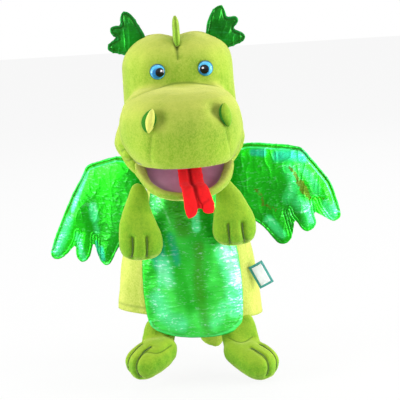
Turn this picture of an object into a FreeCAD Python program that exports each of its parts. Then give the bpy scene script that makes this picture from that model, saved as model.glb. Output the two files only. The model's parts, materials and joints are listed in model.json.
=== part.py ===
"""A plush dragon hand puppet with a moving mouth, in millimetres.

The origin is the centre of the hand opening, level with the hem. +Z is up, the
puppet looks along -Y and +X is the right-hand side seen from the front.
"""
import FreeCAD, Part
import math
import os

V = FreeCAD.Vector

# Cloth and small pieces
PLUSH = 2.6  # velour with its pile
LINING = 1.0
FOIL = 0.8
SEAM = 1.5  # from the sewn edge of a wing or ear to its wadding
FIT = 0.3  # gap between pieces that move on each other
BOARD = 2.0

# Sleeve: the body that the hand goes up
HEM_HALF_WIDTH = 73.5
WAIST_HALF_WIDTH = 67.0
CHEST_HALF_WIDTH = 57.0
SHOULDER_HALF_WIDTH = 47.0
SLEEVE_HALF_DEPTH = 33.0
WAIST_HEIGHT = 60.0
CHEST_HEIGHT = 93.0
SHOULDER_HEIGHT = 110.0
HEM_TURN_HEIGHT = 9.0
HEM_TURN_THICKNESS = 1.2

# Neck: a ball-shaped cuff that the head turns on
NECK_Y = 14.0
NECK_HEIGHT = 150.0
NECK_RADIUS = 44.0
NECK_CUFF_BOTTOM = 125.0
NECK_CUFF_TOP = 152.0
NECK_CUFF_WALL = 3.0

# Belly panel
PANEL_THICKNESS = 1.5
PANEL_HALF_WIDTH = 50.0
PANEL_TOP_HALF_WIDTH = 26.0
PANEL_TOP = 117.0
PANEL_DROP = 22.0

# Side label
LABEL_LENGTH = 26.0
LABEL_WIDTH = 17.0
LABEL_THICKNESS = 0.8
LABEL_HEIGHT = 36.0
LABEL_TILT = -24.0

# Head
CRANIUM_HALF_WIDTH = 57.0
CRANIUM_HALF_DEPTH = 50.0
CRANIUM_Y = 6.0
HEAD_SKIRT_HEIGHT = 137.0
HEAD_TOP = 292.0
MUZZLE_HALF_WIDTH = 62.0
MUZZLE_HALF_LENGTH = 66.0
MUZZLE_Y = -60.0
MUZZLE_TOP = 240.0

# Mouth
MOUTH_HINGE_Y = -30.0
MOUTH_HINGE_HEIGHT = 170.0
MOUTH_BEAD_RADIUS = 1.5
JAW_OPEN = 20.0  # slope of the jaw at rest, in degrees
JAW_HALF_WIDTH = 47.5
JAW_LENGTH = 87.0
JAW_DEPTH = 26.0
LIP_WIDTH = 8.0
LIP_RISE = 4.5
TONGUE_HALF_WIDTH = 11.5
TONGUE_THICKNESS = 4.0
TONGUE_FORK = 12.0

# Pockets for the hand
FINGER_POCKET_HALF_WIDTH = 36.0
FINGER_POCKET_HALF_HEIGHT = 11.0
FINGER_POCKET_LENGTH = 91.0
THUMB_POCKET_HALF_WIDTH = 15.0
THUMB_POCKET_HALF_HEIGHT = 8.5
THUMB_POCKET_LENGTH = 51.0
THUMB_POCKET_START = 14.0  # along the jaw from the mouth hinge, so that the open jaw clears the neck
POCKET_GAP = 0.7  # between a pocket's crown and the board it is sewn along
PALM_HALF_WIDTH = 38.0
PALM_HALF_DEPTH = 34.0
PALM_TOP = 206.0

# Face
EYE_RADIUS = 8.0
EYE_SPACING = 24.2
EYE_HEIGHT = 258.0
EYE_DOME = 5.0
EYE_SHANK_RADIUS = 2.0
EYE_SHANK_LENGTH = 12.0
EYE_WASHER_RADIUS = 6.5
EYE_WASHER_THICKNESS = 1.2
NOSTRIL_SPACING = 37.0
NOSTRIL_HEIGHT = 222.0
NOSTRIL_HALF_WIDTH = 7.5
NOSTRIL_HALF_HEIGHT = 12.5
NOSTRIL_STAND = 5.0
EAR_THICKNESS = 6.0
EAR_Y = 4.0
EAR_CLEARANCE = 0.05  # between the head and an ear laid on it
FIN_THICKNESS = 5.0
FIN_HEIGHT = 24.0
FIN_LENGTH = 30.0
FIN_Y = -8.0

# Arms
ARM_SPACING = 46.0
ARM_HINGE_HEIGHT = 113.0
ARM_HALF_WIDTH = 15.0
ARM_LENGTH = 41.0
ARM_TOP = 11.0  # above the hinge, low enough to pass under the open jaw
PAW_HALF_WIDTH = 21.5
PAW_HALF_DEPTH = 16.5
ARM_ROOT_RADIUS = 8.0
THREAD = 1.0

# Legs
LEG_SPACING = 41.0
LEG_HINGE_Y = -21.3
LEG_ROOT_RADIUS = 6.0
LEG_HALF_WIDTH = 15.0
FOOT_SPACING = 51.0
FOOT_Y = -40.0
FOOT_HEIGHT = -50.0
FOOT_HALF_WIDTH = 25.0
FOOT_HALF_LENGTH = 28.0
FOOT_HALF_HEIGHT = 16.0

# Wings
WING_ROOT_X = 42.0
WING_ROOT_BOTTOM = 88.0
WING_ROOT_TOP = 116.0
WING_ROOT_RADIUS = 4.0
WING_SPAN = 122.0
WING_TOP = 162.0
WING_BOTTOM = 51.0
WING_THICKNESS = 7.0
WING_SWEEP = {"left": 27.0, "right": 12.0}

# Tail
TAIL_HINGE_HEIGHT = 42.0
TAIL_ROOT_RADIUS = 7.0
TAIL_ROOT_HALF_WIDTH = 15.0
TAIL_TIP_X = 20.0
TAIL_TIP_HEIGHT = -43.0

SIDES = {"left": -1.0, "right": 1.0}
FAR = 400.0  # longer than anything here, for half-spaces
OVERRUN = 1.0  # how far a cutting form runs past what it cuts


def squircle(half_a, half_b, power=2.3, count=24):
    """Points round a rounded oval, as pairs."""
    pairs = []
    for step in range(count):
        angle = 2 * math.pi * step / count
        a = math.copysign(abs(math.cos(angle)) ** (2 / power), math.cos(angle))
        b = math.copysign(abs(math.sin(angle)) ** (2 / power), math.sin(angle))
        pairs.append((half_a * a, half_b * b))
    return pairs


def closed_curve(points):
    """One smooth closed wire through the points."""
    curve = Part.BSplineCurve()
    curve.interpolate(Points=points, PeriodicFlag=True)
    return Part.Wire([curve.toShape()])


def level_loft(stations, inset=0.0, power=2.3):
    """Solid through level ovals: each station is height, x, y, half width, half depth."""
    last = len(stations) - 1
    wires = []
    for index, (height, x, y, half_width, half_depth) in enumerate(stations):
        end = 0
        if index == 0:
            end = 1
        if index == last:
            end = -1
        lift = end * inset * math.copysign(1, stations[last][0] - stations[0][0])
        pairs = squircle(half_width - inset, half_depth - inset, power)
        wires.append(closed_curve([V(x + a, y + b, height + lift) for a, b in pairs]))
    return Part.makeLoft(wires, True, False)


def slab(low, high):
    """All of space between two heights."""
    return Part.makeBox(2 * FAR, 2 * FAR, high - low, V(-FAR, -FAR, low))


def outline_plate(points, thickness, centre_y, smooth=True):
    """Upright plate whose outline is x, z pairs, centred on centre_y."""
    corners = [V(x, centre_y - thickness / 2, z) for x, z in points]
    wire = closed_curve(corners) if smooth else Part.makePolygon(corners + corners[:1])
    return Part.Face(wire).extrude(V(0, thickness, 0))


def shrink(points, inset):
    """The outline moved inwards along its own normals."""
    count = len(points)
    moved = []
    for index, (x, z) in enumerate(points):
        x0, z0 = points[index - 1]
        x1, z1 = points[(index + 1) % count]
        length = math.hypot(x1 - x0, z1 - z0)
        moved.append((x + inset * (z1 - z0) / length, z - inset * (x1 - x0) / length))
    return moved


def front_of(shape, x, z):
    """The lowest y of the shape on the line through x, z."""
    line = Part.makeLine(V(x, -FAR, z), V(x, FAR, z))
    return line.common(shape).BoundBox.YMin


def close_up(shape, target, direction):
    """Moves the shape along direction until it is a running gap from the target."""
    gap = shape.distToShape(target)[0]
    while gap > 1.05 * FIT:
        shape.translate(direction * (gap - FIT))
        gap = shape.distToShape(target)[0]
    return shape


def mirrored(shape):
    return shape.mirror(V(0, 0, 0), V(1, 0, 0))


def for_side(shape, side):
    """A form drawn on the right, on the side asked for."""
    return shape if side == "right" else mirrored(shape)


def save(name, shape):
    shape.exportStep("parts/" + name + ".step")
    volume = shape.Volume / 1000
    print(f"{name:22s} solids {len(shape.Solids)}  volume {volume:8.2f} cm3  valid {shape.isValid()}")


# ---------------------------------------------------------------- sleeve

def neck_radius_at(height, inset=0.0):
    return math.sqrt((NECK_RADIUS - inset) ** 2 - (height - NECK_HEIGHT) ** 2)


def sleeve_form(inset):
    """The sleeve's outer form, moved in by inset, from the hem to the neck cuff."""
    neck = neck_radius_at(NECK_CUFF_BOTTOM)
    skirt = [
        (share * WAIST_HEIGHT, 0, 0, HEM_HALF_WIDTH + share * (WAIST_HALF_WIDTH - HEM_HALF_WIDTH),
         SLEEVE_HALF_DEPTH + share)
        for share in (0, 0.33, 0.67, 1)
    ]
    stations = skirt + [
        (CHEST_HEIGHT, 0, 3, CHEST_HALF_WIDTH, SLEEVE_HALF_DEPTH + 2),
        (SHOULDER_HEIGHT, 0, NECK_Y * 0.6, SHOULDER_HALF_WIDTH, SLEEVE_HALF_DEPTH + 4),
        (NECK_CUFF_BOTTOM, 0, NECK_Y, neck, neck),
    ]
    wires = []
    for height, x, y, half_width, half_depth in stations:
        pairs = squircle(half_width - inset, half_depth - inset, 2.2)
        wires.append(closed_curve([V(x + a, y + b, height) for a, b in pairs]))
    return Part.makeLoft(wires, True, False)


def ball(radius):
    return Part.makeSphere(radius, V(0, NECK_Y, NECK_HEIGHT))


def make_sleeve():
    outer = sleeve_form(0)
    middle = sleeve_form(PLUSH)
    inner = sleeve_form(PLUSH + LINING)
    save("sleeve_plush", outer.cut(middle))
    save("sleeve_lining", middle.cut(inner))
    turn = inner.cut(sleeve_form(PLUSH + LINING + HEM_TURN_THICKNESS)).common(slab(0, HEM_TURN_HEIGHT))
    save("sleeve_hem", turn)
    cuff = ball(NECK_RADIUS).cut(ball(NECK_RADIUS - NECK_CUFF_WALL))
    save("neck_cuff", cuff.common(slab(NECK_CUFF_BOTTOM, NECK_CUFF_TOP)))
    return outer


def panel_outline():
    """The belly panel's right half, mirrored: narrow under the chin, round at the hem."""
    half = [
        (PANEL_TOP_HALF_WIDTH * 0.55, PANEL_TOP),
        (PANEL_TOP_HALF_WIDTH, PANEL_TOP - 7),
        ((PANEL_TOP_HALF_WIDTH + PANEL_HALF_WIDTH) / 2, (PANEL_TOP + WAIST_HEIGHT) / 2),
        (PANEL_HALF_WIDTH - 2, WAIST_HEIGHT),
        (PANEL_HALF_WIDTH, WAIST_HEIGHT / 3),
        (PANEL_HALF_WIDTH - 5, -PANEL_DROP / 4),
        (PANEL_HALF_WIDTH / 2, -PANEL_DROP * 0.82),
        (0, -PANEL_DROP),
    ]
    return half + [(-x, z) for x, z in reversed(half[:-1])]


def hem_section(inset):
    pairs = squircle(HEM_HALF_WIDTH - inset, SLEEVE_HALF_DEPTH - inset, 2.2)
    return Part.Face(closed_curve([V(a, b, 0) for a, b in pairs]))


def make_panel():
    """One cloth: sewn flat on the sleeve's front, and hanging free below the hem."""
    plate = outline_plate(panel_outline(), 2 * SLEEVE_HALF_DEPTH, -SLEEVE_HALF_DEPTH - PANEL_THICKNESS)
    sewn = sleeve_form(-PANEL_THICKNESS).common(plate).cut(sleeve_form(0))
    drop = V(0, 0, -PANEL_DROP - OVERRUN)
    hanging = hem_section(-PANEL_THICKNESS).extrude(drop).common(plate).cut(hem_section(0).extrude(drop))
    save("belly_panel", sewn.fuse(hanging))


def make_label(sleeve):
    """Bare folded ribbon in the right side seam."""
    seam_x = WAIST_HALF_WIDTH - LABEL_WIDTH / 2
    y = front_of(sleeve, seam_x, LABEL_HEIGHT)
    corner = V(0, y - LABEL_THICKNESS, -LABEL_LENGTH / 2)
    ribbon = Part.makeBox(LABEL_WIDTH, LABEL_THICKNESS, LABEL_LENGTH, corner)
    ribbon.translate(V(seam_x, 0, LABEL_HEIGHT))
    ribbon.rotate(V(seam_x, y, LABEL_HEIGHT), V(0, 1, 0), LABEL_TILT)
    save("side_label", ribbon.cut(sleeve))


# ---------------------------------------------------------------- head

PALATE = MOUTH_HINGE_HEIGHT + MOUTH_BEAD_RADIUS + FIT  # underside of the upper mouth

# Share of the height from skirt to crown, of the way from neck to cranium, of width and depth
CRANIUM_SHAPE = (
    (0.0, 0.1, 0.84, 0.95), (0.09, 0.3, 0.91, 0.98), (0.25, 0.7, 0.97, 1.0), (0.48, 1, 1, 1), (0.7, 1, 1, 1),
    (0.83, 1, 0.97, 0.96), (0.903, 1, 0.895, 0.88), (0.955, 1, 0.77, 0.74),
    (0.987, 1, 0.6, 0.54), (1.0, 1, 0.32, 0.28),
)
# Share of the height from palate to muzzle top, of width and of length
MUZZLE_SHAPE = (
    (0.0, 0.8, 0.86), (0.09, 0.9, 0.94), (0.3, 0.985, 0.99), (0.53, 1, 1), (0.76, 0.95, 0.94),
    (0.91, 0.8, 0.8), (0.98, 0.57, 0.6), (1.0, 0.3, 0.36),
)


def open_loft(stations, inset, power):
    """As level_loft, but the lower end keeps its height, so that a shell is open there."""
    lowest = stations[0]
    deeper = (lowest[0] - inset,) + tuple(lowest[1:])
    return level_loft([deeper] + list(stations[1:]), inset, power).common(slab(lowest[0], FAR))


def head_form(inset):
    rise = HEAD_TOP - HEAD_SKIRT_HEIGHT
    cranium = [
        (HEAD_SKIRT_HEIGHT + up * rise, 0, NECK_Y + (CRANIUM_Y - NECK_Y) * lean,
         CRANIUM_HALF_WIDTH * wide, CRANIUM_HALF_DEPTH * deep)
        for up, lean, wide, deep in CRANIUM_SHAPE
    ]
    muzzle = [
        (PALATE + up * (MUZZLE_TOP - PALATE), 0, MUZZLE_Y, MUZZLE_HALF_WIDTH * wide, MUZZLE_HALF_LENGTH * long)
        for up, wide, long in MUZZLE_SHAPE
    ]
    mouth = Part.makeBox(2 * FAR, FAR, FAR, V(-FAR, MOUTH_HINGE_Y + 2 - FAR, PALATE - FAR))
    return open_loft(cranium, inset, 2.3).fuse(open_loft(muzzle, inset, 2.4)).cut(mouth)


def palate_layer(inner, low, high):
    front = Part.makeBox(2 * FAR, FAR, high - low, V(-FAR, MOUTH_HINGE_Y + 2 - FAR, low))
    return inner.common(front)


def sock(half_width, half_height, length, inset=0.0):
    """A flat sock along -Y from y = 0, closed and rounded at its far end."""
    wires = []
    start = -OVERRUN if inset else 0
    stations = ((start, 1), (0.2, 1), (0.4, 1), (0.6, 0.99), (0.75, 0.95), (0.88, 0.84), (0.97, 0.6), (1, 0.3))
    for along, share in stations:
        reach = along * (length - inset) if along > 0 else along
        pairs = squircle(half_width * share - inset * share, half_height * share - inset * share)
        wires.append(closed_curve([V(a, -reach, b) for a, b in pairs]))
    return Part.makeLoft(wires, True, False)


def ear_outline():
    """Three lobes fanned out from the crown's corner, as x, z pairs on the right."""
    base_x = CRANIUM_HALF_WIDTH - 8
    root = HEAD_TOP - 12
    pairs = (
        (-20, 2), (-15, 15), (-8, 30), (0, 38), (5, 34), (4, 26), (11, 25), (17, 20), (15, 13), (11, 10),
        (17, 8), (22, 2), (17, -3), (2, -9), (-10, -12),
    )
    return [(base_x + x, root + z) for x, z in pairs]


def fin_form(head):
    """Curved spike on the crown, thin across the head."""
    root = front_of(head, 0, HEAD_TOP - 8) + FIN_LENGTH
    base = HEAD_TOP - 8
    pairs = (
        (-0.5, 0), (-0.36, 0.35), (-0.1, 0.8), (0.12, 1.0), (0.16, 0.8), (0.22, 0.45), (0.5, 0), (0, -0.2),
    )
    centre = min(root, FIN_Y)
    corners = [V(-FIN_THICKNESS / 2, centre + y * FIN_LENGTH, base + z * FIN_HEIGHT) for y, z in pairs]
    return Part.Face(closed_curve(corners)).extrude(V(FIN_THICKNESS, 0, 0)).cut(head)


def eye_forms(head):
    """Right eye with its shank, and the washer that holds it behind the plush."""
    y = front_of(head, EYE_SPACING, EYE_HEIGHT)
    radius = (EYE_RADIUS ** 2 + EYE_DOME ** 2) / (2 * EYE_DOME)
    bulb = Part.makeSphere(radius, V(EYE_SPACING, y + radius - EYE_DOME, EYE_HEIGHT))
    front = V(EYE_SPACING, y - 2 * EYE_DOME, EYE_HEIGHT)
    reach = Part.makeCylinder(EYE_RADIUS, 3 * EYE_DOME, front, V(0, 1, 0))
    shank = Part.makeCylinder(
        EYE_SHANK_RADIUS, EYE_SHANK_LENGTH, V(EYE_SPACING, y, EYE_HEIGHT), V(0, 1, 0))
    washer = Part.makeCylinder(
        EYE_WASHER_RADIUS, EYE_WASHER_THICKNESS,
        V(EYE_SPACING, y + EYE_SHANK_LENGTH - 2 * EYE_WASHER_THICKNESS, EYE_HEIGHT), V(0, 1, 0))
    return bulb.common(reach).cut(head).fuse(shank), shank, washer.cut(shank)


def nostril_form(head):
    y = front_of(head, NOSTRIL_SPACING, NOSTRIL_HEIGHT)
    scale = FreeCAD.Matrix()
    scale.scale(NOSTRIL_HALF_WIDTH, NOSTRIL_STAND, NOSTRIL_HALF_HEIGHT)
    flap = Part.makeSphere(1.0).transformGeometry(scale)
    flap.translate(V(NOSTRIL_SPACING, y, NOSTRIL_HEIGHT))
    return flap.cut(head)


def make_head():
    head = head_form(0)
    ear_seat = head_form(-EAR_CLEARANCE)
    inner = head_form(PLUSH)
    socket = ball(NECK_RADIUS + FIT)
    lining_top = PALATE + LINING
    board_top = lining_top + BOARD
    save("upper_mouth_lining", palate_layer(inner, PALATE, lining_top))
    save("upper_mouth_board", palate_layer(inner, lining_top, board_top))

    pocket_y = NECK_Y - PALM_HALF_DEPTH / 2
    pocket_z = board_top + POCKET_GAP + FINGER_POCKET_HALF_HEIGHT
    sizes = (FINGER_POCKET_HALF_WIDTH, FINGER_POCKET_HALF_HEIGHT, FINGER_POCKET_LENGTH)
    pocket = sock(*sizes)
    pocket_bore = sock(*sizes, inset=LINING)
    for shape in (pocket, pocket_bore):
        shape.translate(V(0, pocket_y, pocket_z))
    save("finger_pocket", pocket.cut(pocket_bore))

    palm = level_loft([
        (HEAD_SKIRT_HEIGHT - 10, 0, NECK_Y, PALM_HALF_WIDTH, PALM_HALF_DEPTH),
        (PALM_TOP - 20, 0, NECK_Y, PALM_HALF_WIDTH, PALM_HALF_DEPTH),
        (PALM_TOP - 6, 0, NECK_Y, PALM_HALF_WIDTH * 0.8, PALM_HALF_DEPTH * 0.8),
        (PALM_TOP, 0, NECK_Y, PALM_HALF_WIDTH * 0.4, PALM_HALF_DEPTH * 0.4),
    ])
    above_board = Part.makeBox(2 * FAR, FAR, board_top - PALATE, V(-FAR, MOUTH_HINGE_Y + 2 - FAR, PALATE))
    stuffing = inner.cut(above_board).cut(palm).cut(pocket).cut(socket)
    plush = head.cut(inner).cut(socket)

    right_eye, right_shank, right_washer = eye_forms(head)
    for side in SIDES:
        eye = for_side(right_eye, side)
        washer = for_side(right_washer, side)
        save("eye_" + side, eye)
        save("eye_washer_" + side, washer)
        shank = for_side(right_shank, side)
        plush = plush.cut(shank)
        stuffing = stuffing.cut(shank).cut(washer)
        save("nostril_" + side, for_side(nostril_form(head), side))
        outline = ear_outline()
        ear = outline_plate(outline, EAR_THICKNESS, EAR_Y).cut(ear_seat)
        wadding = outline_plate(shrink(outline, SEAM), EAR_THICKNESS - 2 * FOIL, EAR_Y).cut(ear_seat)
        save("ear_" + side, for_side(ear.cut(wadding), side))
        save("ear_wadding_" + side, for_side(wadding, side))
    save("crown_fin", fin_form(head))
    save("head_plush", plush)
    save("head_stuffing", stuffing)


# ---------------------------------------------------------------- jaw and tongue

def mouth_wire(half_width, front, back, height):
    """Half oval with a straight back edge, in the jaw's own level frame."""
    points = []
    count = 16
    for step in range(count + 1):
        angle = math.pi * step / count
        across = math.copysign(abs(math.cos(angle)) ** (2 / 2.5), math.cos(angle))
        ahead = math.sin(angle) ** (2 / 2.5)
        points.append(V(half_width * across, -back - (front - back) * ahead, height))
    curve = Part.BSplineCurve()
    curve.interpolate(Points=points)
    return Part.Wire([curve.toShape(), Part.makeLine(points[-1], points[0])])


# Height as a share of depth below and of lip rise above, share of width and length, and start of the back edge
JAW_SHAPE = (
    (-1.0, 0.5, 0.7, 24), (-0.7, 0.8, 0.88, 17), (-0.3, 0.97, 0.985, 9), (0.0, 1.0, 1.0, 5), (1.0, 0.92, 0.945, 5),
)


def jaw_form(inset):
    wires = []
    for level, wide, long, back in JAW_SHAPE:
        height = level * (JAW_DEPTH if level < 0 else LIP_RISE)
        if level == -1.0:
            height += inset
        wires.append(mouth_wire(JAW_HALF_WIDTH * wide - inset, JAW_LENGTH * long - inset, back + inset, height))
    return Part.makeLoft(wires, True, False)


def seat_jaw(shape):
    """From the jaw's level frame, with the hinge at its origin, to its slope at rest."""
    shape.rotate(V(0, 0, 0), V(1, 0, 0), JAW_OPEN)
    shape.translate(V(0, MOUTH_HINGE_Y, MOUTH_HINGE_HEIGHT))
    return shape


def make_jaw():
    seat_half_width = JAW_HALF_WIDTH - LIP_WIDTH
    seat_front = JAW_LENGTH - LIP_WIDTH
    floor = -BOARD - LINING

    def mouth_plate(low, high, back):
        face = Part.Face(mouth_wire(seat_half_width, seat_front, back, low))
        return face.extrude(V(0, 0, high - low))

    outer = jaw_form(0)
    seat = mouth_plate(floor, LIP_RISE + OVERRUN, 0)
    wedge = Part.makeBox(2 * FAR, FAR, FAR, V(-FAR, -FAR, 0))
    wedge.rotate(V(0, 0, 0), V(1, 0, 0), -JAW_OPEN * 0.4)
    inner = jaw_form(PLUSH).common(slab(-FAR, floor))
    sizes = (THUMB_POCKET_HALF_WIDTH, THUMB_POCKET_HALF_HEIGHT, THUMB_POCKET_LENGTH)
    pocket = sock(*sizes)
    pocket_bore = sock(*sizes, inset=LINING)
    for shape in (pocket, pocket_bore):
        shape.translate(V(0, -THUMB_POCKET_START, floor - POCKET_GAP - THUMB_POCKET_HALF_HEIGHT))
    mouth_of_pocket = Part.makeBox(
        2 * THUMB_POCKET_HALF_WIDTH, 2 * JAW_DEPTH, 2 * THUMB_POCKET_HALF_HEIGHT,
        V(-THUMB_POCKET_HALF_WIDTH, -THUMB_POCKET_START, floor - 2 * THUMB_POCKET_HALF_HEIGHT))
    pocket_room = pocket.fuse(mouth_of_pocket)
    plush = outer.cut(seat).cut(wedge).cut(inner).cut(pocket_room)
    save("jaw_plush", seat_jaw(plush))
    save("jaw_padding", seat_jaw(inner.cut(pocket_room)))
    save("thumb_pocket", seat_jaw(pocket.cut(pocket_bore)))
    bead = Part.makeCylinder(
        MOUTH_BEAD_RADIUS, 2 * seat_half_width - 4, V(2 - seat_half_width, 0, 0), V(1, 0, 0))
    lining = mouth_plate(-LINING, 0, 0).cut(bead)
    board = mouth_plate(floor, -LINING, 0).fuse(bead)
    save("lower_mouth_board", seat_jaw(board))
    save("lower_mouth_lining", seat_jaw(lining))


TONGUE_START = 22.0  # along the jaw from the mouth hinge
TONGUE_TIP_HEIGHT = 125.0


def on_jaw(along, height):
    """y, z of a place given along and above the jaw's top face."""
    slope = math.radians(JAW_OPEN)
    return (
        MOUTH_HINGE_Y - along * math.cos(slope) - height * math.sin(slope),
        MOUTH_HINGE_HEIGHT - along * math.sin(slope) + height * math.cos(slope),
    )


def make_tongue():
    crest = JAW_LENGTH * JAW_SHAPE[-1][2]
    flat_end = JAW_LENGTH - 2 * LIP_WIDTH - 5
    shares = (0, 0.25, 0.5, 0.75, 1)
    under = [on_jaw(TONGUE_START + share * (flat_end - TONGUE_START), 2 * FIT) for share in shares]
    under += [
        on_jaw(JAW_LENGTH - LIP_WIDTH - 4, FIT + 2.8),
        on_jaw(crest - 1, LIP_RISE + 5 * FIT),
        on_jaw(JAW_LENGTH + 2.4, LIP_RISE * 0.4),
    ]
    under.append((under[-1][0] - 1.5, under[-1][1] - 8))
    under.append((under[-1][0] + 0.5, TONGUE_TIP_HEIGHT))
    over = []
    for index, (y, z) in enumerate(under):
        before = under[max(index - 1, 0)]
        after = under[min(index + 1, len(under) - 1)]
        length = math.hypot(after[0] - before[0], after[1] - before[1])
        over.append((
            y + TONGUE_THICKNESS * (after[1] - before[1]) / length,
            z - TONGUE_THICKNESS * (after[0] - before[0]) / length,
        ))
    left = -TONGUE_HALF_WIDTH - 4
    edges = []
    for pairs in (under, over):
        curve = Part.BSplineCurve()
        curve.interpolate(Points=[V(left, y, z) for y, z in pairs])
        edges.append(curve.toShape())
    for index in (0, -1):
        edges.append(Part.makeLine(V(left, *under[index]), V(left, *over[index])))
    band = Part.Face(Part.Wire(Part.__sortEdges__(edges))).extrude(V(-2 * left, 0, 0))
    tip = TONGUE_TIP_HEIGHT
    half = TONGUE_HALF_WIDTH
    right = [
        (half * 0.1, tip + TONGUE_FORK * 1.05), (half * 0.55, tip + TONGUE_FORK * 0.45),
        (half * 1.1, tip + 0.5),
        (half * 1.22, tip + TONGUE_FORK * 0.35), (half, tip + TONGUE_FORK * 1.1), (half, MOUTH_HINGE_HEIGHT + 10),
    ]
    fork = outline_plate(right + [(-x, z) for x, z in reversed(right)], FAR, 0, smooth=False)
    save("tongue", band.common(fork))


# ---------------------------------------------------------------- limbs

def threads(form, grown, places, reach):
    """Sewn toe lines: thread proud of the cloth, one solid at each x."""
    proud = grown.cut(form)
    lines = []
    for x in places:
        strip = reach.copy()
        plane = Part.makeBox(THREAD, 2 * FAR, 2 * FAR, V(x - THREAD / 2, -FAR, -FAR))
        lines.append(proud.common(plane).common(strip))
    return Part.makeCompound([solid for line in lines for solid in line.Solids])


# Height above the hinge as a share of the arm's length, half width and half depth as shares of the paw's
ARM_TIP = -ARM_LENGTH
ARM_BACK = -(SLEEVE_HALF_DEPTH + 1 + PANEL_THICKNESS + 1)


def arm_form(inset, root_y):
    stations = [
        (ARM_TIP - 1, 2, PAW_HALF_WIDTH * 0.35, PAW_HALF_DEPTH * 0.35),
        (ARM_TIP + 1, 2, PAW_HALF_WIDTH * 0.65, PAW_HALF_DEPTH * 0.62),
        (ARM_TIP + 6, 1.5, PAW_HALF_WIDTH * 0.92, PAW_HALF_DEPTH * 0.92),
        (ARM_TIP + 14, 1, PAW_HALF_WIDTH, PAW_HALF_DEPTH),
        (ARM_TIP + 25, 0, (PAW_HALF_WIDTH + ARM_HALF_WIDTH) / 2, PAW_HALF_DEPTH * 0.88),
        (-4, 0, ARM_HALF_WIDTH, PAW_HALF_DEPTH * 0.72),
        (6, 0, ARM_HALF_WIDTH * 0.84, PAW_HALF_DEPTH * 0.6),
        (ARM_TOP, 0, ARM_HALF_WIDTH * 0.45, PAW_HALF_DEPTH * 0.4),
    ]
    places = [
        (ARM_HINGE_HEIGHT + up, ARM_SPACING + out, ARM_BACK - deep, wide, deep) for up, out, wide, deep in stations
    ]
    root = Part.makeCylinder(
        ARM_ROOT_RADIUS - inset, root_y - ARM_BACK + 6,
        V(ARM_SPACING, ARM_BACK - 6, ARM_HINGE_HEIGHT), V(0, 1, 0))
    return level_loft(places, inset).fuse(root)


def make_arms(sleeve):
    root = Part.makeCylinder(
        ARM_ROOT_RADIUS, THREAD, V(ARM_SPACING, ARM_BACK - THREAD, ARM_HINGE_HEIGHT), V(0, 1, 0))
    root_y = close_up(root, sleeve, V(0, 1, 0)).BoundBox.YMax
    form = arm_form(0, root_y)
    inner = arm_form(PLUSH, root_y)
    grown = arm_form(-THREAD / 2, root_y)
    toe_top = ARM_HINGE_HEIGHT + ARM_TIP + 24
    reach = Part.makeBox(FAR, FAR, FAR, V(0, ARM_BACK - PAW_HALF_DEPTH - FAR, toe_top - FAR))
    third = 2 * PAW_HALF_WIDTH / 3
    centre = ARM_SPACING + 1
    toes = threads(form, grown, (centre - third / 2, centre + third / 2), reach)
    for side in SIDES:
        save("arm_" + side, for_side(form.cut(inner), side))
        save("arm_stuffing_" + side, for_side(inner, side))
        save("paw_threads_" + side, for_side(toes, side))
    return root_y


LEG_HINGE_HEIGHT = -(LEG_ROOT_RADIUS + FIT)


def leg_form(inset):
    stations = [
        (LEG_HINGE_HEIGHT, LEG_SPACING, LEG_HINGE_Y, LEG_HALF_WIDTH - 1, LEG_ROOT_RADIUS - 0.5),
        (LEG_HINGE_HEIGHT - 8, LEG_SPACING + 1, LEG_HINGE_Y, LEG_HALF_WIDTH, LEG_ROOT_RADIUS),
        (LEG_HINGE_HEIGHT - 20, LEG_SPACING + 3, LEG_HINGE_Y - 1, LEG_HALF_WIDTH, LEG_ROOT_RADIUS + 4),
        (FOOT_HEIGHT + 10, (LEG_SPACING + FOOT_SPACING) / 2, LEG_HINGE_Y - 5, LEG_HALF_WIDTH + 1, LEG_ROOT_RADIUS + 8),
        (FOOT_HEIGHT, (LEG_SPACING + FOOT_SPACING) / 2 + 1, LEG_HINGE_Y - 7, LEG_HALF_WIDTH, LEG_ROOT_RADIUS + 7),
    ]
    leg = level_loft(stations, inset)
    length = 2 * (LEG_HALF_WIDTH - 1 - inset)
    root = Part.makeCylinder(
        LEG_ROOT_RADIUS - inset, length,
        V(LEG_SPACING - length / 2, LEG_HINGE_Y, LEG_HINGE_HEIGHT), V(1, 0, 0))
    foot = level_loft([
        (FOOT_HEIGHT + up * FOOT_HALF_HEIGHT, FOOT_SPACING, FOOT_Y, FOOT_HALF_WIDTH * share, FOOT_HALF_LENGTH * share)
        for up, share in ((-1, 0.5), (-0.85, 0.78), (-0.5, 0.95), (0, 1), (0.5, 0.93), (0.85, 0.7), (1, 0.35))
    ], inset)
    foot.rotate(V(FOOT_SPACING, FOOT_Y, 0), V(0, 0, 1), 14)
    return leg.fuse(root).fuse(foot)


def make_legs():
    form = leg_form(0)
    inner = leg_form(PLUSH)
    reach = Part.makeBox(
        FAR, FAR, FAR, V(0, FOOT_Y - FOOT_HALF_LENGTH * 0.35 - FAR, FOOT_HEIGHT - FOOT_HALF_HEIGHT * 0.8))
    third = 2 * FOOT_HALF_WIDTH / 3
    toes = threads(form, leg_form(-THREAD / 2), (FOOT_SPACING - third / 2, FOOT_SPACING + third / 2), reach)
    for side in SIDES:
        save("leg_" + side, for_side(form.cut(inner), side))
        save("leg_stuffing_" + side, for_side(inner, side))
        save("foot_threads_" + side, for_side(toes, side))


# ---------------------------------------------------------------- wings and tail

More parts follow.
